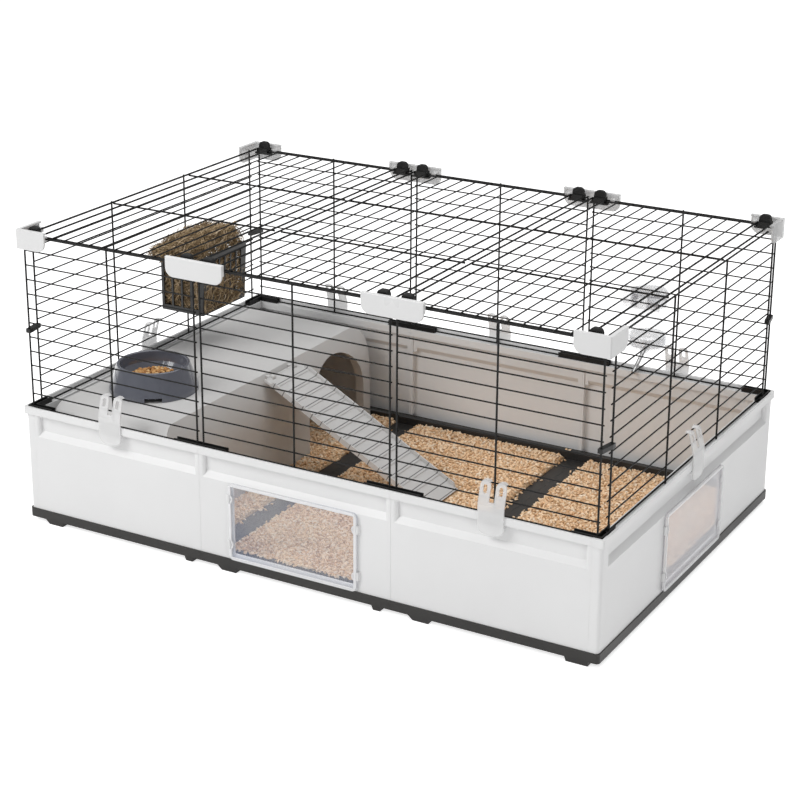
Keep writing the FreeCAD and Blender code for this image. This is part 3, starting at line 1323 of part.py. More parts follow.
def build_bracket():
    """A ring round the bottle on a plate with two hooks over a rung."""
    body = new_body("bottle_bracket")
    low = f"({CUP_LOW} + ring_rise)"
    inner = "(bottle_radius + fit_gap)"
    outer = f"({inner} + ring_skin)"
    slab(body, "ring", "z", low, f"{low} + ring_height",
         [("0", "-bottle_out", outer), ("0", "-bottle_out", inner)])
    back = "(wire_inset - wire_thick / 2 - fit_gap)"
    half = "(plate_width / 2)"
    slab(body, "plate", "y", f"{back} - plate_skin", back,
         [box_outline(f"-{half}", half, low, f"{low} + plate_height")])
    slab(body, "neck", "z", low, f"{low} + ring_height",
         [box_outline("-ring_height / 2", "ring_height / 2",
                      f"{inner} + ring_skin / 2 - bottle_out", f"{back} - plate_skin / 2")])
    rung = f"({WIRE_LOW} + {BRACKET_RUNG} * wire_pitch)"
    under = f"({rung} + wire_thin / 2 + fit_gap)"
    tip = f"({THIN_LAYER} + wire_thin / 2 + fit_gap)"
    hook = slab(body, "hook", "x", f"{half} - hook_width", half,
                [[(f"{back} - plate_skin / 2", under), (f"{back} - plate_skin / 2", f"{under} + hook_skin"),
                  (f"{tip} + hook_skin", f"{under} + hook_skin"),
                  (f"{tip} + hook_skin", f"{under} - 2 * hook_skin"),
                  (tip, f"{under} - 2 * hook_skin"), (tip, under)]])
    mirror(body, "other_hook", [hook], "YZ_Plane")
    stand(body, "back", BOTTLE_X)
    return keep(body)


def build_grilles():
    inner = "module_width / 2"
    spans = {
        "left": (f"(-{HALF} + corner_margin)", f"(-{inner} - seam_margin)"),
        "mid": (f"(-{inner} + seam_margin)", f"({inner} - seam_margin)"),
        "right": (f"({inner} + seam_margin)", f"({HALF} - corner_margin)"),
    }
    for face in ("front", "back"):
        for place in MODULES:
            build_grille(f"{face}_grille_{place}", face, *spans[place], 3)
    for face in ("left", "right"):
        build_grille(f"side_grille_{face}", face,
                     "(-cage_depth / 2 + side_margin)", "(cage_depth / 2 - side_margin)", 4)
    for place in MODULES:
        build_roof(place)


def build_walls():
    ends = {"left": ("rim_depth", "rim_depth / 2"), "mid": ("0", "0"),
            "right": ("rim_depth", "-rim_depth / 2")}
    for face in ("front", "back"):
        for place in MODULES:
            post, shift = ends[place]
            build_wall(f"{face}_wall_{place}", face, f"({CENTRES[place]} + {shift})",
                       f"(module_width - {post} - joint_gap)", doorway=(face, place) == ("front", "mid"))
    for face in ("left", "right"):
        build_wall(f"side_wall_{face}", face, "0", "(cage_depth - 2 * rim_depth - joint_gap)",
                   doorway=face == "right")
    build_posts()
    build_door("front_door", "front", "0")
    build_door("side_door", "right", "0")


def build_clips():
    middle = CLIP_PLACE
    for face, name, along in (("front", "left", f"(-{middle})"), ("front", "right", middle),
                              ("back", "left", f"(-{middle})"), ("back", "mid", "0"),
                              ("back", "right", middle)):
        build_rim_clip(f"rim_clip_{face}_{name}", face, along)
    for face in ("left", "right"):
        build_rim_clip(f"rim_clip_side_{face}", face, "0")


def build_fittings():
    build_joint_caps()
    for corner in CORNERS:
        build_corner_cap(*corner)
    build_foot_bars()
    build_corner_ties()
    build_catches()
    build_clips()


def build_contents():
    build_hideout()
    build_ramp()
    build_bowl()
    build_feed()
    build_hay_rack()
    build_hay()
    for place in MODULES:
        build_litter(place)
    build_bottle()
    build_bottle_cap()
    build_spout()
    build_bracket()


def check_document():
    """Stops if an object failed, a pocket cut nothing or a sub-part is not whole."""
    for item in doc.Objects:
        if "Invalid" in item.State or "Error" in item.State:
            raise RuntimeError("failed: %s %s" % (item.Label, item.State))
        if item.TypeId == "PartDesign::Pocket":
            before = item.BaseFeature.Shape.Volume
            if item.Shape.Volume > before - 1e-6:
                raise RuntimeError("nothing cut: %s in %s" % (item.Label, item.getParent().Label))
    for node in NODES:
        if node.Shape.isNull() or not node.Shape.isValid():
            raise RuntimeError("bad shape: " + node.Label)
        if node.TypeId == "PartDesign::Body" and len(node.Shape.Solids) != 1:
            raise RuntimeError("%s is %d solids" % (node.Label, len(node.Shape.Solids)))


for place in MODULES:
    build_tray(place)
build_walls()
build_grilles()
build_fittings()
build_contents()
doc.recompute()
check_document()

os.makedirs("parts", exist_ok=True)
for node in NODES:
    node.Shape.exportStep("parts/%s.step" % node.Label)
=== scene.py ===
import math

import bmesh
import bpy
import numpy as np
from mathutils import Matrix, Vector
from mathutils.bvhtree import BVHTree


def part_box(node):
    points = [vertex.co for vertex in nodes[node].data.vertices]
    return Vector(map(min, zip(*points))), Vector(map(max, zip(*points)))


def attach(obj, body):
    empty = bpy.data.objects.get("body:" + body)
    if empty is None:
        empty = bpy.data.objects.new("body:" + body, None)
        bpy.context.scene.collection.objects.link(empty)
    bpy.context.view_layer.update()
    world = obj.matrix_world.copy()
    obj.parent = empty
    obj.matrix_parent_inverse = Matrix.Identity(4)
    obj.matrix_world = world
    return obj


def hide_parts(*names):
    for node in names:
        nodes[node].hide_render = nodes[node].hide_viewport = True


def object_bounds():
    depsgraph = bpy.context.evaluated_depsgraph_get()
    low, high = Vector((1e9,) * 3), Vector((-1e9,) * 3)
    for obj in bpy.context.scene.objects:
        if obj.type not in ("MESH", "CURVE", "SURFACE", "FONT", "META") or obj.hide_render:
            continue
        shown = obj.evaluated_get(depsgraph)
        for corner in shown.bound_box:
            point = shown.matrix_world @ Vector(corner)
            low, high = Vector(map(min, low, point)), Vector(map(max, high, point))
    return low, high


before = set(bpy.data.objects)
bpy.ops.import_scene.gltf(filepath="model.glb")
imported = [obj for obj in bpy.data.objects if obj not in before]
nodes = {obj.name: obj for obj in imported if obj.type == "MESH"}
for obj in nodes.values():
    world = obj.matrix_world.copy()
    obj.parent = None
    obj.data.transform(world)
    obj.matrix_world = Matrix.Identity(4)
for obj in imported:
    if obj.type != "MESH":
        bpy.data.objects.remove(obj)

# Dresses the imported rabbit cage: litter, hay and feed as loose pieces in place of
# their plain solids, a procedural material on every node, and the studio around it.
# Lengths are in metres.

cad_low, cad_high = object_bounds()

MM = 0.001
SEED = 20


def named(*stems):
    return [name for name in nodes if name.startswith(stems)]


# Node materials

# A mix node gives its colour sockets the same names as its other sockets, so they go by number.
MIX_FIRST = 6
MIX_SECOND = 7
MIX_COLOUR = 2

NOISE_ROUGHNESS = 0.55


class Paint:
    """A principled material whose sockets are set or linked by name."""

    def __init__(self, name, **sockets):
        self.material = bpy.data.materials.new(name)
        self.material.use_nodes = True
        self.tree = self.material.node_tree
        self.shader = self.tree.nodes["Principled BSDF"]
        self.place = self.node("ShaderNodeTexCoord").outputs["Object"]
        for socket, value in sockets.items():
            self.set(socket.replace("_", " ").title().replace("Ior", "IOR"), value)

    def node(self, kind, inputs=(), **settings):
        made = self.tree.nodes.new(kind)
        for key, value in settings.items():
            setattr(made, key, value)
        for key, value in dict(inputs).items():
            self.feed(made.inputs[key], value)
        return made

    def feed(self, socket, value):
        if isinstance(value, bpy.types.NodeSocket):
            self.tree.links.new(value, socket)
        elif socket.type == "RGBA" and len(value) == 3:
            socket.default_value = (*value, 1)
        else:
            socket.default_value = value

    def set(self, socket, value):
        self.feed(self.shader.inputs[socket], value)

    def noise(self, scale, detail, place=None):
        inputs = {"Vector": place or self.place, "Scale": scale, "Detail": detail,
                  "Roughness": NOISE_ROUGHNESS}
        return self.node("ShaderNodeTexNoise", inputs).outputs["Fac"]

    def stretch(self, scale, turn=(0, 0, 0)):
        """The object's own coordinates, stretched and turned."""
        inputs = {"Vector": self.place, "Scale": scale, "Rotation": turn}
        return self.node("ShaderNodeMapping", inputs).outputs["Vector"]

    def steps(self, factor, *stops):
        """A colour ramp through pairs of place and colour."""
        ramp = self.node("ShaderNodeValToRGB", {"Fac": factor})
        elements = ramp.color_ramp.elements
        while len(elements) < len(stops):
            elements.new(1)
        for element, (spot, colour) in zip(elements, stops):
            element.position = spot
            element.color = (*colour, 1)
        return ramp.outputs["Color"]

    def span(self, factor, low, high, first=0.3, last=0.7):
        """A factor between first and last, spread from low to high."""
        inputs = {"Value": factor, "From Min": first, "From Max": last,
                  "To Min": low, "To Max": high}
        return self.node("ShaderNodeMapRange", inputs).outputs["Result"]

    def blend(self, factor, first, second):
        mixer = self.node("ShaderNodeMix", data_type="RGBA")
        self.feed(mixer.inputs["Factor"], factor)
        self.feed(mixer.inputs[MIX_FIRST], first)
        self.feed(mixer.inputs[MIX_SECOND], second)
        return mixer.outputs[MIX_COLOUR]

    def reckon(self, operation, first, second):
        """One arithmetic step on two values."""
        made = self.node("ShaderNodeMath", operation=operation)
        self.feed(made.inputs[0], first)
        self.feed(made.inputs[1], second)
        return made.outputs["Value"]

    def axis(self, letter):
        return self.node("ShaderNodeSeparateXYZ", {"Vector": self.place}).outputs[letter]

    def emboss(self, height, strength, depth):
        inputs = {"Height": height, "Strength": strength, "Distance": depth}
        self.set("Normal", self.node("ShaderNodeBump", inputs).outputs["Normal"])

    def each_piece(self):
        """A number that differs from one loose piece of a mesh to the next."""
        return self.node("ShaderNodeNewGeometry").outputs["Random Per Island"]


def grey(level, warm=0.0):
    return (level * (1 + warm), level, level * (1 - warm))


def moulded_paint(name, dark, light, gloss, grain=0.08, **sockets):
    """Moulded plastic: faintly clouded colour and gloss over a fine pebbled skin."""
    paint = Paint(name, **sockets)
    paint.set("Base Color", paint.steps(paint.noise(5, 4), (0.3, dark), (0.7, light)))
    paint.set("Roughness", paint.span(paint.noise(8, 3), gloss - 0.03, gloss + 0.04))
    paint.emboss(paint.noise(1100, 2), grain, 0.15 * MM)
    return paint


def moulded(*looks, **sockets):
    return moulded_paint(*looks, **sockets).material


BORDER_RISE = 0.4 * MM
BORDER_COLOUR = (0.88, 0.88, 0.89)
BORDER_ALPHA = 0.82
FILM_LIGHT = (0.90, 0.90, 0.94)


def clear_door(name, axis, face, sign, milky, tint):
    """Hazy clear plastic, white where the raised border stands proud of face."""
    paint = Paint(name, specular_ior_level=0.5, ior=1.45)
    height = paint.reckon("SUBTRACT", paint.axis(axis), face)
    proud = paint.reckon("MULTIPLY", height, sign / BORDER_RISE)
    border = paint.node("ShaderNodeClamp", {"Value": proud}).outputs["Result"]
    haze = paint.noise(6, 2, place=paint.stretch((1, 1, 1.6), (0, 0.4, 0)))
    film = paint.steps(haze, (0.35, tint), (0.65, FILM_LIGHT))
    paint.set("Base Color", paint.blend(border, film, BORDER_COLOUR))
    clear = paint.span(haze, milky, milky + 0.06)
    cover = paint.node("ShaderNodeMix", {"Factor": border, "A": clear, "B": BORDER_ALPHA})
    paint.set("Alpha", cover.outputs["Result"])
    paint.set("Roughness", paint.span(paint.noise(30, 2), 0.06, 0.14))
    paint.emboss(paint.noise(10, 2), 0.06, 1 * MM)
    return paint.material


def make_wire():
    paint = Paint("black_wire", specular_ior_level=0.22)
    tone = paint.steps(paint.noise(40, 3), (0.35, grey(0.004)), (0.7, grey(0.010)))
    paint.set("Base Color", tone)
    skin = paint.noise(900, 2)
    paint.set("Roughness", paint.span(skin, 0.42, 0.55))
    paint.emboss(skin, 0.12, 0.2 * MM)
    return paint.material


RAMP_SLOPE = math.radians(28.5)
# Pitch and width of the painted shade lines across the ramp.
RAMP_SHADE_PITCH = 22 * MM
RAMP_SHADE_WIDTH = 1.2 * MM


def shelf_paint(name):
    return moulded_paint(name, grey(0.59, 0.01), grey(0.64, 0.01), 0.42)


def make_ramp():
    """The shelf's grey plastic, with painted shade: thin dark lines across the ramp along its ribs.
    """
    low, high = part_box("ramp")
    paint = shelf_paint("ramp_plastic")
    away = paint.reckon("SUBTRACT", paint.axis("X"), low.x)
    down = paint.reckon("SUBTRACT", paint.axis("Z"), high.z)
    along = paint.reckon("SUBTRACT", paint.reckon("MULTIPLY", away, math.cos(RAMP_SLOPE)),
                         paint.reckon("MULTIPLY", down, math.sin(RAMP_SLOPE)))
    rest = paint.reckon("PINGPONG", along, RAMP_SHADE_PITCH / 2)
    painted_rib_shade = paint.span(rest, 1.0, 0.0, 0.3 * RAMP_SHADE_WIDTH, RAMP_SHADE_WIDTH)
    base = paint.shader.inputs["Base Color"].links[0].from_socket
    # Painted shade: a thin dark line across the ramp at each rib.
    paint.set("Base Color", paint.blend(painted_rib_shade, base, grey(0.10)))
    return paint.material


LITTER_GRAIN = (0.64, 0.43, 0.25)


def litter_paint(name, spread, *stops):
    """Wood fibre in tones that follow a spread."""
    paint = Paint(name, specular_ior_level=0.2)
    grain = paint.noise(700, 3, place=paint.stretch((1, 0.3, 1)))
    tone = paint.steps(spread(paint), *stops)
    paint.set("Base Color", paint.blend(paint.span(grain, 0.0, 0.25), tone, LITTER_GRAIN))
    paint.set("Roughness", paint.span(grain, 0.75, 0.95))
    paint.emboss(grain, 0.4, 0.4 * MM)
    return paint.material


def make_pellets():
    return litter_paint("litter_pellets", Paint.each_piece,
                        (0.0, (0.50, 0.29, 0.14)), (0.1, (0.78, 0.51, 0.29)),
                        (0.4, (0.95, 0.69, 0.45)), (0.75, (0.98, 0.77, 0.55)),
                        (1.0, (0.98, 0.87, 0.72)))


def make_litter_shade():
    """The bed under the top pellets in a darker mottled brown: painted shade in the gaps between the
    pellets.
    """
    return litter_paint("litter_painted_shade", lambda paint: paint.noise(260, 3),
                        (0.35, (0.46, 0.30, 0.17)), (0.65, (0.78, 0.56, 0.36)))


def make_hay():
    paint = Paint("hay_stems", specular_ior_level=0.25)
    tone = paint.steps(paint.each_piece(),
                       (0.0, (0.10, 0.065, 0.035)), (0.3, (0.26, 0.175, 0.095)),
                       (0.55, (0.45, 0.32, 0.175)), (0.8, (0.68, 0.51, 0.31)),
                       (1.0, (0.90, 0.74, 0.54)))
    fibre = paint.noise(500, 2)
    paint.set("Base Color", paint.blend(paint.span(fibre, 0.0, 0.35), tone, (0.17, 0.12, 0.06)))
    paint.set("Roughness", paint.span(fibre, 0.6, 0.85))
    paint.emboss(fibre, 0.3, 0.2 * MM)
    return paint.material


def make_feed():
    paint = Paint("feed_pellets", specular_ior_level=0.35)
    tone = paint.steps(paint.each_piece(),
                       (0.0, (0.34, 0.15, 0.045)), (0.4, (0.58, 0.30, 0.10)),
                       (0.75, (0.72, 0.44, 0.18)), (1.0, (0.82, 0.60, 0.32)))
    crumb = paint.noise(900, 3)
    paint.set("Base Color", paint.blend(paint.span(crumb, 0.0, 0.3), tone, (0.22, 0.09, 0.03)))
    paint.set("Roughness", paint.span(crumb, 0.5, 0.75))
    paint.emboss(crumb, 0.5, 0.4 * MM)
    return paint.material


def make_steel():
    paint = Paint("spout_steel", metallic=1.0)
    rub = paint.noise(300, 2, place=paint.stretch((1, 1, 0.1)))
    paint.set("Base Color", paint.steps(rub, (0.3, grey(0.55)), (0.7, grey(0.68))))
    paint.set("Roughness", paint.span(rub, 0.18, 0.34))
    paint.emboss(rub, 0.08, 0.2 * MM)
    return paint.material


# Loose pieces in place of the soft solids

def mesh_piece(name, points, faces, smooth=False):
    mesh = bpy.data.meshes.new(name)
    mesh.from_pydata(points, [], faces)
    mesh.validate()
    if smooth:
        mesh.polygons.foreach_set("use_smooth", [True] * len(mesh.polygons))
    piece = bpy.data.objects.new(name, mesh)
    bpy.context.collection.objects.link(piece)
    return piece


def ball_shape(level):
    """Points and triangles of a round lump, to be knocked out of shape."""
    lump = bmesh.new()
    bmesh.ops.create_icosphere(lump, subdivisions=level, radius=1)
    lump.verts.ensure_lookup_table()
    points = np.array([tuple(vertex.co) for vertex in lump.verts])
    faces = np.array([[vertex.index for vertex in face.verts] for face in lump.faces])
    lump.free()
    return points, faces


def turn_about(axis, angle):
    """Rotation matrices about one axis, one for each angle."""
    turns = np.zeros((len(angle), 3, 3))
    first, second = [(1, 2), (2, 0), (0, 1)][axis]
    turns[:, axis, axis] = 1
    turns[:, first, first] = np.cos(angle)
    turns[:, second, second] = np.cos(angle)
    turns[:, first, second] = -np.sin(angle)
    turns[:, second, first] = np.sin(angle)
    return turns


def scatter(draws, centres, sizes, level=1, knock=0.18, tilt=0.5):
    """Lumps of their own shape and turn at each centre, as points and faces."""
    shape, faces = ball_shape(level)
    count = len(centres)
    lumps = shape[None] * (1 + draws.normal(0, knock, (count, len(shape), 1)))
    lumps = lumps * sizes[:, None, :]
    turns = turn_about(2, draws.uniform(0, 2 * math.pi, count))
    turns = turns @ turn_about(0, draws.normal(0, tilt, count))
    turns = turns @ turn_about(1, draws.normal(0, tilt, count))
    points = np.einsum("nij,nkj->nki", turns, lumps) + centres[:, None, :]
    offsets = np.arange(count)[:, None, None] * len(shape)
    return points.reshape(-1, 3), (faces[None] + offsets).reshape(-1, 3)


NO_FACE = (0, 0, -1)
DOWN = Vector((0, 0, -1))


def top_of(*names):
    """A function that gives the height of the nodes' top face over places, or -1 beside it."""
    points = []
    faces = []
    for name in names:
        node = nodes[name]
        faces += [[index + len(points) for index in face.vertices] for face in node.data.polygons]
        points += [node.matrix_world @ vertex.co for vertex in node.data.vertices]
    tree = BVHTree.FromPolygons(points, faces)
    above = max(point.z for point in points) + 10 * MM

    def height(x, y):
        hits = [tree.ray_cast(Vector((a, b, above)), DOWN)[0] or NO_FACE for a, b in zip(x, y)]
        return np.array(hits)[:, 2]

    return height


PELLET = np.array([3.7, 2.2, 1.8]) * MM
PELLET_SIZES = (0.7, 1.3)
PELLET_PITCH = 5.2 * MM
PELLET_HEIGHTS_MM = (-1.2, 0.6)
PELLET_LIFT = 1.3 * MM
SPILL = 4 * MM
SPILL_SHARE = 0.6
CURB_REACH = 10 * MM
CURB_RANGE = 3 * MM
CURB_SHARE = 0.95
LITTER_SINK = 1.6 * MM
UNDER_RAMP = 4 * MM
BESIDE_RAMP = 5 * MM
BEYOND_RAMP = 6 * MM


def clear_ramp(x, y, z):
    """Heights on the bed, lowered where they would reach the ramp's tip."""
    low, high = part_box("ramp")
    under = low.z + np.maximum(high.x - x, 0) * math.tan(RAMP_SLOPE) - UNDER_RAMP
    near = np.abs(y - (low.y + high.y) / 2) < (high.y - low.y) / 2 + BESIDE_RAMP
    near &= (x < high.x + BEYOND_RAMP) & (z > 0)
    return np.where(near, np.minimum(z, under), z)


def pellet_centres(draws, node):
    """Places over the bed, with some spilt on the strips and the outer curbs beside it."""
    low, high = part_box(node)
    x, y = np.meshgrid(np.arange(low.x - 3 * SPILL, high.x + 3 * SPILL, PELLET_PITCH),
                       np.arange(low.y - CURB_REACH, high.y, PELLET_PITCH), indexing="ij")
    x = (x + draws.uniform(-0.5, 0.5, x.shape) * PELLET_PITCH).ravel()
    y = (y + draws.uniform(-0.5, 0.5, y.shape) * PELLET_PITCH).ravel()
    z = clear_ramp(x, y, top_of(node)(x, y))
    z += draws.uniform(*PELLET_HEIGHTS_MM, x.shape) * MM
    ground = top_of(*named("floor_tray", "hideout_shelf", "ramp"))(x, y)
    past = np.maximum(low.x - x, x - high.x)
    chance = draws.uniform(0, 1, x.shape)
    spilt = (past > 0) & (ground < high.z) & (chance < SPILL_SHARE * np.exp(-past / SPILL))
    curb = np.abs(ground - high.z - CURB_REACH / 2) < CURB_RANGE
    on_curb = ((y < low.y) | (x > high.x)) & curb & (chance < CURB_SHARE)
    z = np.where((z < 0) & (spilt | on_curb), ground + PELLET_LIFT, z)
    return np.stack([x, y, z], -1)[z > 0]


def sunk_bed(node):
    """Points and faces of the bed's own solid, with its top sunk among the pellets."""
    source = nodes[node]
    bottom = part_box(node)[0].z
    points = np.array([tuple(source.matrix_world @ vertex.co) for vertex in source.data.vertices])
    points[:, 2] = np.maximum(points[:, 2] - LITTER_SINK, bottom)
    return points, [list(face.vertices) for face in source.data.polygons]


def make_bed(place, pellets, painted_gap_shade):
    """Pellets over the heaped bed, lower under the ramp's tip and spilt past its edges."""
    node = "litter_" + place
    draws = np.random.default_rng(SEED + len(place))
    centres = pellet_centres(draws, node)
    sizes = PELLET * draws.uniform(*PELLET_SIZES, (len(centres), 3))
    pellet_points, pellet_faces = scatter(draws, centres, sizes)
    bed_points, bed_faces = sunk_bed(node)
    points = np.concatenate([bed_points, pellet_points])
    faces = bed_faces + (pellet_faces + len(bed_points)).tolist()
    piece = mesh_piece(node + "_bed", points.tolist(), faces)
    piece.data.materials.append(pellets)
    piece.data.materials.append(painted_gap_shade)
    # The bed's own faces take the second material, the painted shade in the gaps between the pellets.
    layer = np.zeros(len(faces), int)
    layer[:len(bed_faces)] = 1
    piece.data.polygons.foreach_set("material_index", layer)
    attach(piece, "cage")
    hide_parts(node)


STEMS = 3000
STEM_JOINTS = 7
STEM_STEPS = np.linspace(-0.5, 0.5, STEM_JOINTS)
STEM_LENGTHS_MM = (35, 95)
STEM_BEND = 0.16
STEM_SAG = 0.05
STEM_RADIUS = 0.9 * MM
STEM_SIZES = (0.5, 1.25)
STEM_CORNERS = (0, 2 * math.pi / 3, 4 * math.pi / 3)
STEM_FLATNESS = 0.7
STEM_TAPER = 0.75
# Stems drawn below the first share lie on top, up to the second behind the front bars,
# and the rest behind the bars of the near end.
TOP_SHARE = 0.55
FRONT_SHARE = 0.85
# How far the stems go in under the top and behind the bars.
TOP_DEPTH_MM = 6
BARS_DEPTH_MM = 4
# Mean and spread of their headings and leans, in radians.
TOP_YAW = (1.9, 0.7)
END_YAW = (0, 0.4)
FRONT_YAW = (math.pi / 2, 0.3)
TOP_LEAN = (0.05, 0.35)
BARS_LEAN = (0, 0.8)
HAY_POKE = 12 * MM
HAY_SPREAD = 28 * MM
RACK_BARS = 3 * MM
# A direction that hardly any stem follows, to turn the corners of its tube from.
ASIDE = np.array([0.31, 0.17, 0.94])


def hay_room():
    """The hay's box, then the rim, the front and the near end that the rack holds it by."""
    low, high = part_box("hay")
    rack_low, rack_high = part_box("hay_rack")
    return low, high, rack_high.z, rack_high.x - RACK_BARS, rack_low.y + RACK_BARS


def lay_stems(draws):
    """The middle, the heading and the lean of every stem."""
    low, high, rim, front, near_end = hay_room()
    where = draws.uniform(0, 1, STEMS)
    on_top = where < TOP_SHARE
    on_front = (where >= TOP_SHARE) & (where < FRONT_SHARE)
    on_end = where >= FRONT_SHARE
    x = draws.uniform(low.x + 2 * MM, high.x - 4 * MM, STEMS)
    y = draws.uniform(np.where(on_top, low.y, near_end), high.y - 3 * MM, STEMS)
    crown = top_of("hay")(x, y) - np.abs(draws.normal(0, TOP_DEPTH_MM, STEMS)) * MM
    z = np.where(on_top, crown, draws.uniform(low.z + 4 * MM, rim, STEMS))
    front_depth = np.abs(draws.normal(0, BARS_DEPTH_MM, STEMS)) * MM
    x = np.where(on_front, front - 2 * MM - front_depth, x)
    end_depth = np.abs(draws.normal(0, BARS_DEPTH_MM, STEMS)) * MM
    y = np.where(on_end, near_end + end_depth, y)
    top_yaw = draws.normal(*TOP_YAW, STEMS)
    end_yaw = draws.normal(*END_YAW, STEMS)
    front_yaw = draws.normal(*FRONT_YAW, STEMS)
    yaw = np.where(on_top, top_yaw, np.where(on_end, end_yaw, front_yaw))
    lean = np.where(on_top, draws.normal(*TOP_LEAN, STEMS), draws.normal(*BARS_LEAN, STEMS))
    return np.stack([x, y, z], -1), yaw, lean


def bend_stems(draws, middle, yaw, lean):
    """A curved path of joints through every middle."""
    length = draws.uniform(*STEM_LENGTHS_MM, STEMS) * MM
    bend = draws.normal(0, STEM_BEND, (STEMS, 2))
    direction = np.stack([np.cos(yaw) * np.cos(lean), np.sin(yaw) * np.cos(lean), np.sin(lean)], -1)
    side = np.stack([-np.sin(yaw), np.cos(yaw), np.zeros(STEMS)], -1)
    reach = STEM_STEPS[None, :, None] * length[:, None, None]
    path = middle[:, None] + direction[:, None] * reach
    arch = (STEM_STEPS[None] ** 2 * 4) * length[:, None]
    path += side[:, None] * (arch * bend[:, :1])[..., None]
    path[..., 2] += arch * bend[:, 1:] - STEM_SAG * arch
    return path


def hold_stems(draws, path):
    """Keeps the paths inside the rack, and lets those above its rim stray past it."""
    low, high, rim, front, near_end = hay_room()
    above = path[..., 2] > rim + 1 * MM
    loose = draws.uniform(0, 1, STEMS)[:, None] ** 2
    nearest = np.where(above, low.y - HAY_SPREAD * loose, near_end)
    farthest = np.where(above, high.y + 8 * MM * loose, high.y)
    path[..., 1] = np.clip(path[..., 1], nearest, farthest)
    foremost = np.where(above, high.x + 6 * MM * loose, front)
    path[..., 0] = np.clip(path[..., 0], low.x + 1 * MM, foremost)
    crown = top_of("hay")(path[..., 0].ravel(), path[..., 1].ravel())
    crown = crown.reshape(STEMS, STEM_JOINTS)
    crown = np.where(crown > 0, crown, high.z - 8 * MM)
    path[..., 2] = np.clip(path[..., 2], low.z + 2 * MM, crown + HAY_POKE * loose)
    tip = path[..., 1] < near_end
    path[..., 2] = np.where(tip, np.maximum(path[..., 2], rim + 1.5 * MM), path[..., 2])


def unit(vectors):
    return vectors / (np.linalg.norm(vectors, axis=2, keepdims=True) + 1e-9)


def stem_tubes(draws, path):
    """Points and faces of a closed three-sided tube along each path, thinner at its ends."""
    along = unit(np.gradient(path, axis=1))
    flat = unit(np.cross(along, ASIDE))
    third = np.cross(along, flat)
    radius = STEM_RADIUS * draws.uniform(*STEM_SIZES, STEMS)[:, None]
    taper = radius * (1 - STEM_TAPER * np.abs(STEM_STEPS * 2) ** 3)[None]
    rings = [path + taper[..., None] * (flat * math.cos(a) + third * math.sin(a) * STEM_FLATNESS)
             for a in STEM_CORNERS]
    points = np.stack(rings, 2).reshape(-1, 3)
    faces = []
    for start in range(0, len(points), STEM_JOINTS * 3):
        for joint in range(STEM_JOINTS - 1):
            base = start + joint * 3
            for corner in range(3):
                after = (corner + 1) % 3
                faces.append((base + corner, base + after, base + after + 3, base + corner + 3))
        last = start + (STEM_JOINTS - 1) * 3
        faces += [(start + 2, start + 1, start), (last, last + 1, last + 2)]
    return points, faces


def make_hay_bundle(material):
    """Bent stems that fill the rack, spill over its mouth and show between its bars."""
    draws = np.random.default_rng(SEED)
    path = bend_stems(draws, *lay_stems(draws))
    hold_stems(draws, path)
    points, faces = stem_tubes(draws, path)
    piece = mesh_piece("hay_bundle", points.tolist(), faces, smooth=True)
    piece.data.materials.append(material)
    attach(piece, "cage")
    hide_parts("hay")


KIBBLE = np.array([4.6, 3.9, 2.9]) * MM
KIBBLE_SIZES = (0.75, 1.15)
KIBBLE_PITCH = 7.2 * MM
KIBBLE_STRAY_MM = 1.4
# Each layer's share of the feed's height in the middle, and of its reach.
KIBBLE_LAYERS = ((0.35, 0.86), (0.8, 0.9))
KIBBLE_FALL = 0.45


def make_kibble(material):
    """Two layers of kibble heaped in the bowl, highest in the middle."""
    draws = np.random.default_rng(SEED)
    low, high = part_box("feed")
    middle = (low + high) / 2
    reach = (high.x - low.x) / 2
    centres = []
    for layer, share in KIBBLE_LAYERS:
        radius = reach * share
        for x in np.arange(-radius, radius, KIBBLE_PITCH):
            for y in np.arange(-radius, radius, KIBBLE_PITCH):
                x_now = x + draws.normal(0, KIBBLE_STRAY_MM) * MM
                y_now = y + draws.normal(0, KIBBLE_STRAY_MM) * MM
                out = math.hypot(x_now, y_now)
                if out < radius - KIBBLE[0]:
                    fall = 1 - KIBBLE_FALL * (out / reach) ** 2
                    z_now = low.z + (high.z - low.z) * layer * fall
                    centres.append((middle.x + x_now, middle.y + y_now, z_now))
    centres = np.array(centres)
    sizes = KIBBLE * draws.uniform(*KIBBLE_SIZES, (len(centres), 3))
    points, faces = scatter(draws, centres, sizes, level=2, knock=0.06, tilt=0.45)
    piece = mesh_piece("feed_kibble", points.tolist(), faces.tolist(), smooth=True)
    piece.data.materials.append(material)
    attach(piece, "bowl")
    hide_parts("feed")


# Materials on the nodes

def dress(material, *names):
    for name in names:
        slots = nodes[name].data.materials
        slots.clear()
        slots.append(material)


dress(moulded("wall_plastic", grey(0.80), grey(0.83), 0.34),
      *named("front_wall", "back_wall", "side_wall", "corner_posts"))
dress(moulded("base_plastic", grey(0.026, 0.05), grey(0.036, 0.05), 0.45, 0.2,
              specular_ior_level=0.3),
      *named("floor_tray"))
dress(make_wire(), *named("front_grille", "back_grille", "side_grille", "roof_grille"))
dress(moulded("cap_plastic", grey(0.75), grey(0.79), 0.30),
      *named("front_joint", "corner_cap_left_front", "corner_cap_right_front"))
dress(moulded("back_cap_plastic", grey(0.62), grey(0.68), 0.22, alpha=0.6),
      *named("back_joint", "corner_cap_left_back", "corner_cap_right_back"))
dress(moulded("black_plastic", grey(0.008), grey(0.014), 0.4, 0.15, specular_ior_level=0.3),
      *named("front_catches", "rear_catches", "seam_foot", "corner_foot", "corner_wire"))
dress(moulded("clip_plastic", grey(0.86), grey(0.91), 0.2, 0.04, alpha=0.6), *named("rim_clip"))
dress(shelf_paint("shelf_plastic").material, "hideout_shelf")
dress(make_ramp(), "ramp")
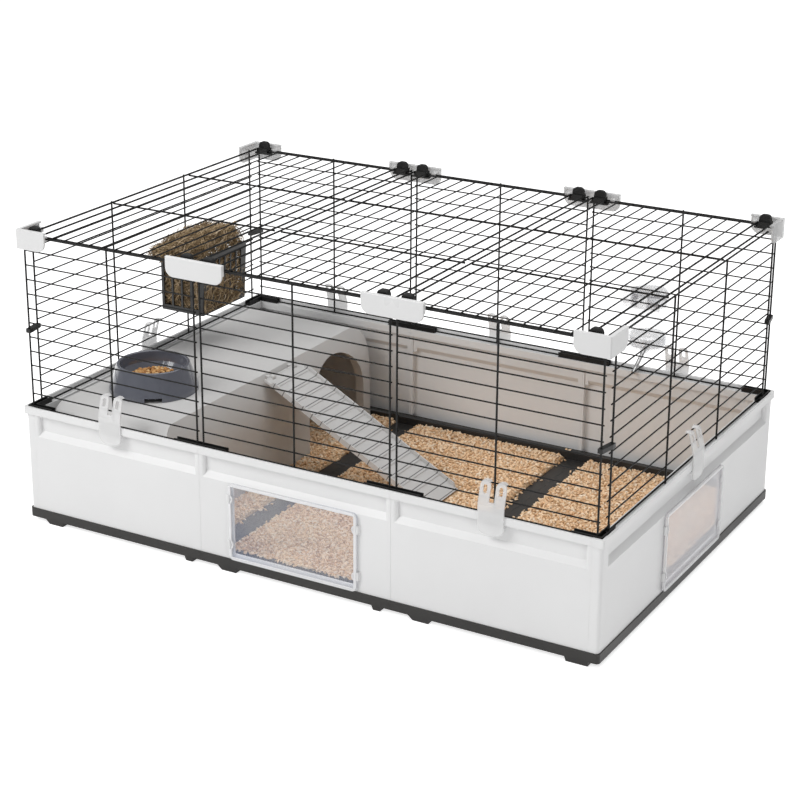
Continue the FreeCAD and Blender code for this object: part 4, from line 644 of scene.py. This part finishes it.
dress(moulded("bowl_plastic", (0.108, 0.114, 0.140), (0.128, 0.135, 0.165), 0.14, 0.03,
              coat_weight=0.7, coat_roughness=0.05),
      "food_bowl")
dress(moulded("rack_plastic", grey(0.022), grey(0.035), 0.4, 0.2), "hay_rack")
dress(moulded("bottle_plastic", (0.86, 0.89, 0.92), (0.92, 0.94, 0.95), 0.06, 0.02, alpha=0.1),
      "bottle")
dress(moulded("bottle_grey", (0.70, 0.71, 0.75), (0.80, 0.81, 0.85), 0.2, 0.04, alpha=0.28),
      "bottle_cap", "bottle_bracket")
dress(make_steel(), "spout", "spout_ball")

DOOR_FLAT = 2.4 * MM
front_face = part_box("front_door")[1].y - DOOR_FLAT
side_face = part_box("side_door")[0].x + DOOR_FLAT
dress(clear_door("front_door_plastic", "Y", front_face, -1, 0.12, (0.62, 0.70, 0.94)), "front_door")
dress(clear_door("side_door_plastic", "X", side_face, 1, 0.42, (0.93, 0.91, 0.95)), "side_door")

pellet_material = make_pellets()
# Painted shade for the sunk bed that shows in the gaps between the pellets.
litter_shade_material = make_litter_shade()
for place in ("left", "mid", "right"):
    make_bed(place, pellet_material, litter_shade_material)
make_hay_bundle(make_hay())
make_kibble(make_feed())


# Studio

FLOOR_REACH = 30
FLOOR_DROP = 0.2 * MM
FLOOR_GLOW = 0.73


def make_floor():
    """A wide pale floor, white to the camera and darker in the cage's shadow."""
    corners = [(x * FLOOR_REACH, y * FLOOR_REACH, 0) for x, y in ((-1, -1), (1, -1), (1, 1), (-1, 1))]
    floor = mesh_piece("studio_floor", corners, [(0, 1, 2, 3)])
    floor.location.z = cad_low.z - FLOOR_DROP
    paint = Paint("studio_floor", base_color=grey(0.82), roughness=0.9, specular_ior_level=0.1)
    path = paint.node("ShaderNodeLightPath").outputs
    seen = paint.reckon("MAXIMUM", path["Is Camera Ray"],
                        paint.reckon("MAXIMUM", path["Is Glossy Ray"], path["Is Transmission Ray"]))
    paint.set("Emission Color", (1, 1, 1))
    paint.set("Emission Strength", paint.reckon("MULTIPLY", seen, FLOOR_GLOW))
    floor.data.materials.append(paint.material)


def make_world(strength):
    """Even light, seen as white by the camera and through glass."""
    world = bpy.data.worlds.new("studio_world")
    bpy.context.scene.world = world
    world.use_nodes = True
    tree = world.node_tree
    path = tree.nodes.new("ShaderNodeLightPath")
    seen = tree.nodes.new("ShaderNodeMath")
    seen.operation = "MAXIMUM"
    tree.links.new(path.outputs["Is Camera Ray"], seen.inputs[0])
    tree.links.new(path.outputs["Is Transmission Ray"], seen.inputs[1])
    level = tree.nodes.new("ShaderNodeMapRange")
    level.inputs["To Min"].default_value = strength
    level.inputs["To Max"].default_value = 1
    tree.links.new(seen.outputs["Value"], level.inputs["Value"])
    background = tree.nodes["Background"]
    tree.links.new(level.outputs["Result"], background.inputs["Strength"])
    background.inputs["Color"].default_value = (1, 1, 1, 1)


def add_lamp(name, place, target, width, power, spread=math.pi):
    data = bpy.data.lights.new(name, "AREA")
    data.size = width
    data.energy = power
    data.spread = spread
    lamp = bpy.data.objects.new(name, data)
    lamp.location = place
    lamp.rotation_euler = (Vector(target) - Vector(place)).to_track_quat("-Z", "Y").to_euler()
    bpy.context.collection.objects.link(lamp)


PHOTO_PIXELS = 800
FILM_WIDTH = 36
FOCAL_PIXELS = 2018.1
CAMERA_PLACE = (1.590, -2.8496, 1.4412)
CAMERA_TURN = math.radians(29.555)
CAMERA_DROP = math.radians(19.981)
CAMERA_ROLL = math.radians(0.346)
CAMERA_SHIFT = -0.0397
CAMERA_REACH = 100


def add_camera():
    data = bpy.data.cameras.new("photo_camera")
    data.sensor_width = FILM_WIDTH
    data.lens = FOCAL_PIXELS / PHOTO_PIXELS * FILM_WIDTH
    data.shift_y = CAMERA_SHIFT
    data.clip_end = CAMERA_REACH
    camera = bpy.data.objects.new("photo_camera", data)
    bpy.context.collection.objects.link(camera)
    turn = Matrix.Rotation(CAMERA_TURN, 4, "Z") @ Matrix.Rotation(math.pi / 2 - CAMERA_DROP, 4, "X")
    turn = turn @ Matrix.Rotation(CAMERA_ROLL, 4, "Z")
    camera.matrix_world = Matrix.Translation(CAMERA_PLACE) @ turn
    bpy.context.scene.camera = camera


make_floor()
make_world(strength=0.33)
add_lamp("key_lamp", (-2.2, -3.0, 2.8), (-0.3, 0, 0.2), width=2.4, power=98)
add_lamp("fill_lamp", (3.0, -1.9, 0.3), (0, 0, 0.15), width=0.4, power=2.4, spread=math.radians(80))
add_lamp("top_lamp", (0.2, 0.6, 3.6), (0, 0, 0.2), width=3.0, power=73)
add_camera()
bpy.context.scene.view_settings.view_transform = "Standard"
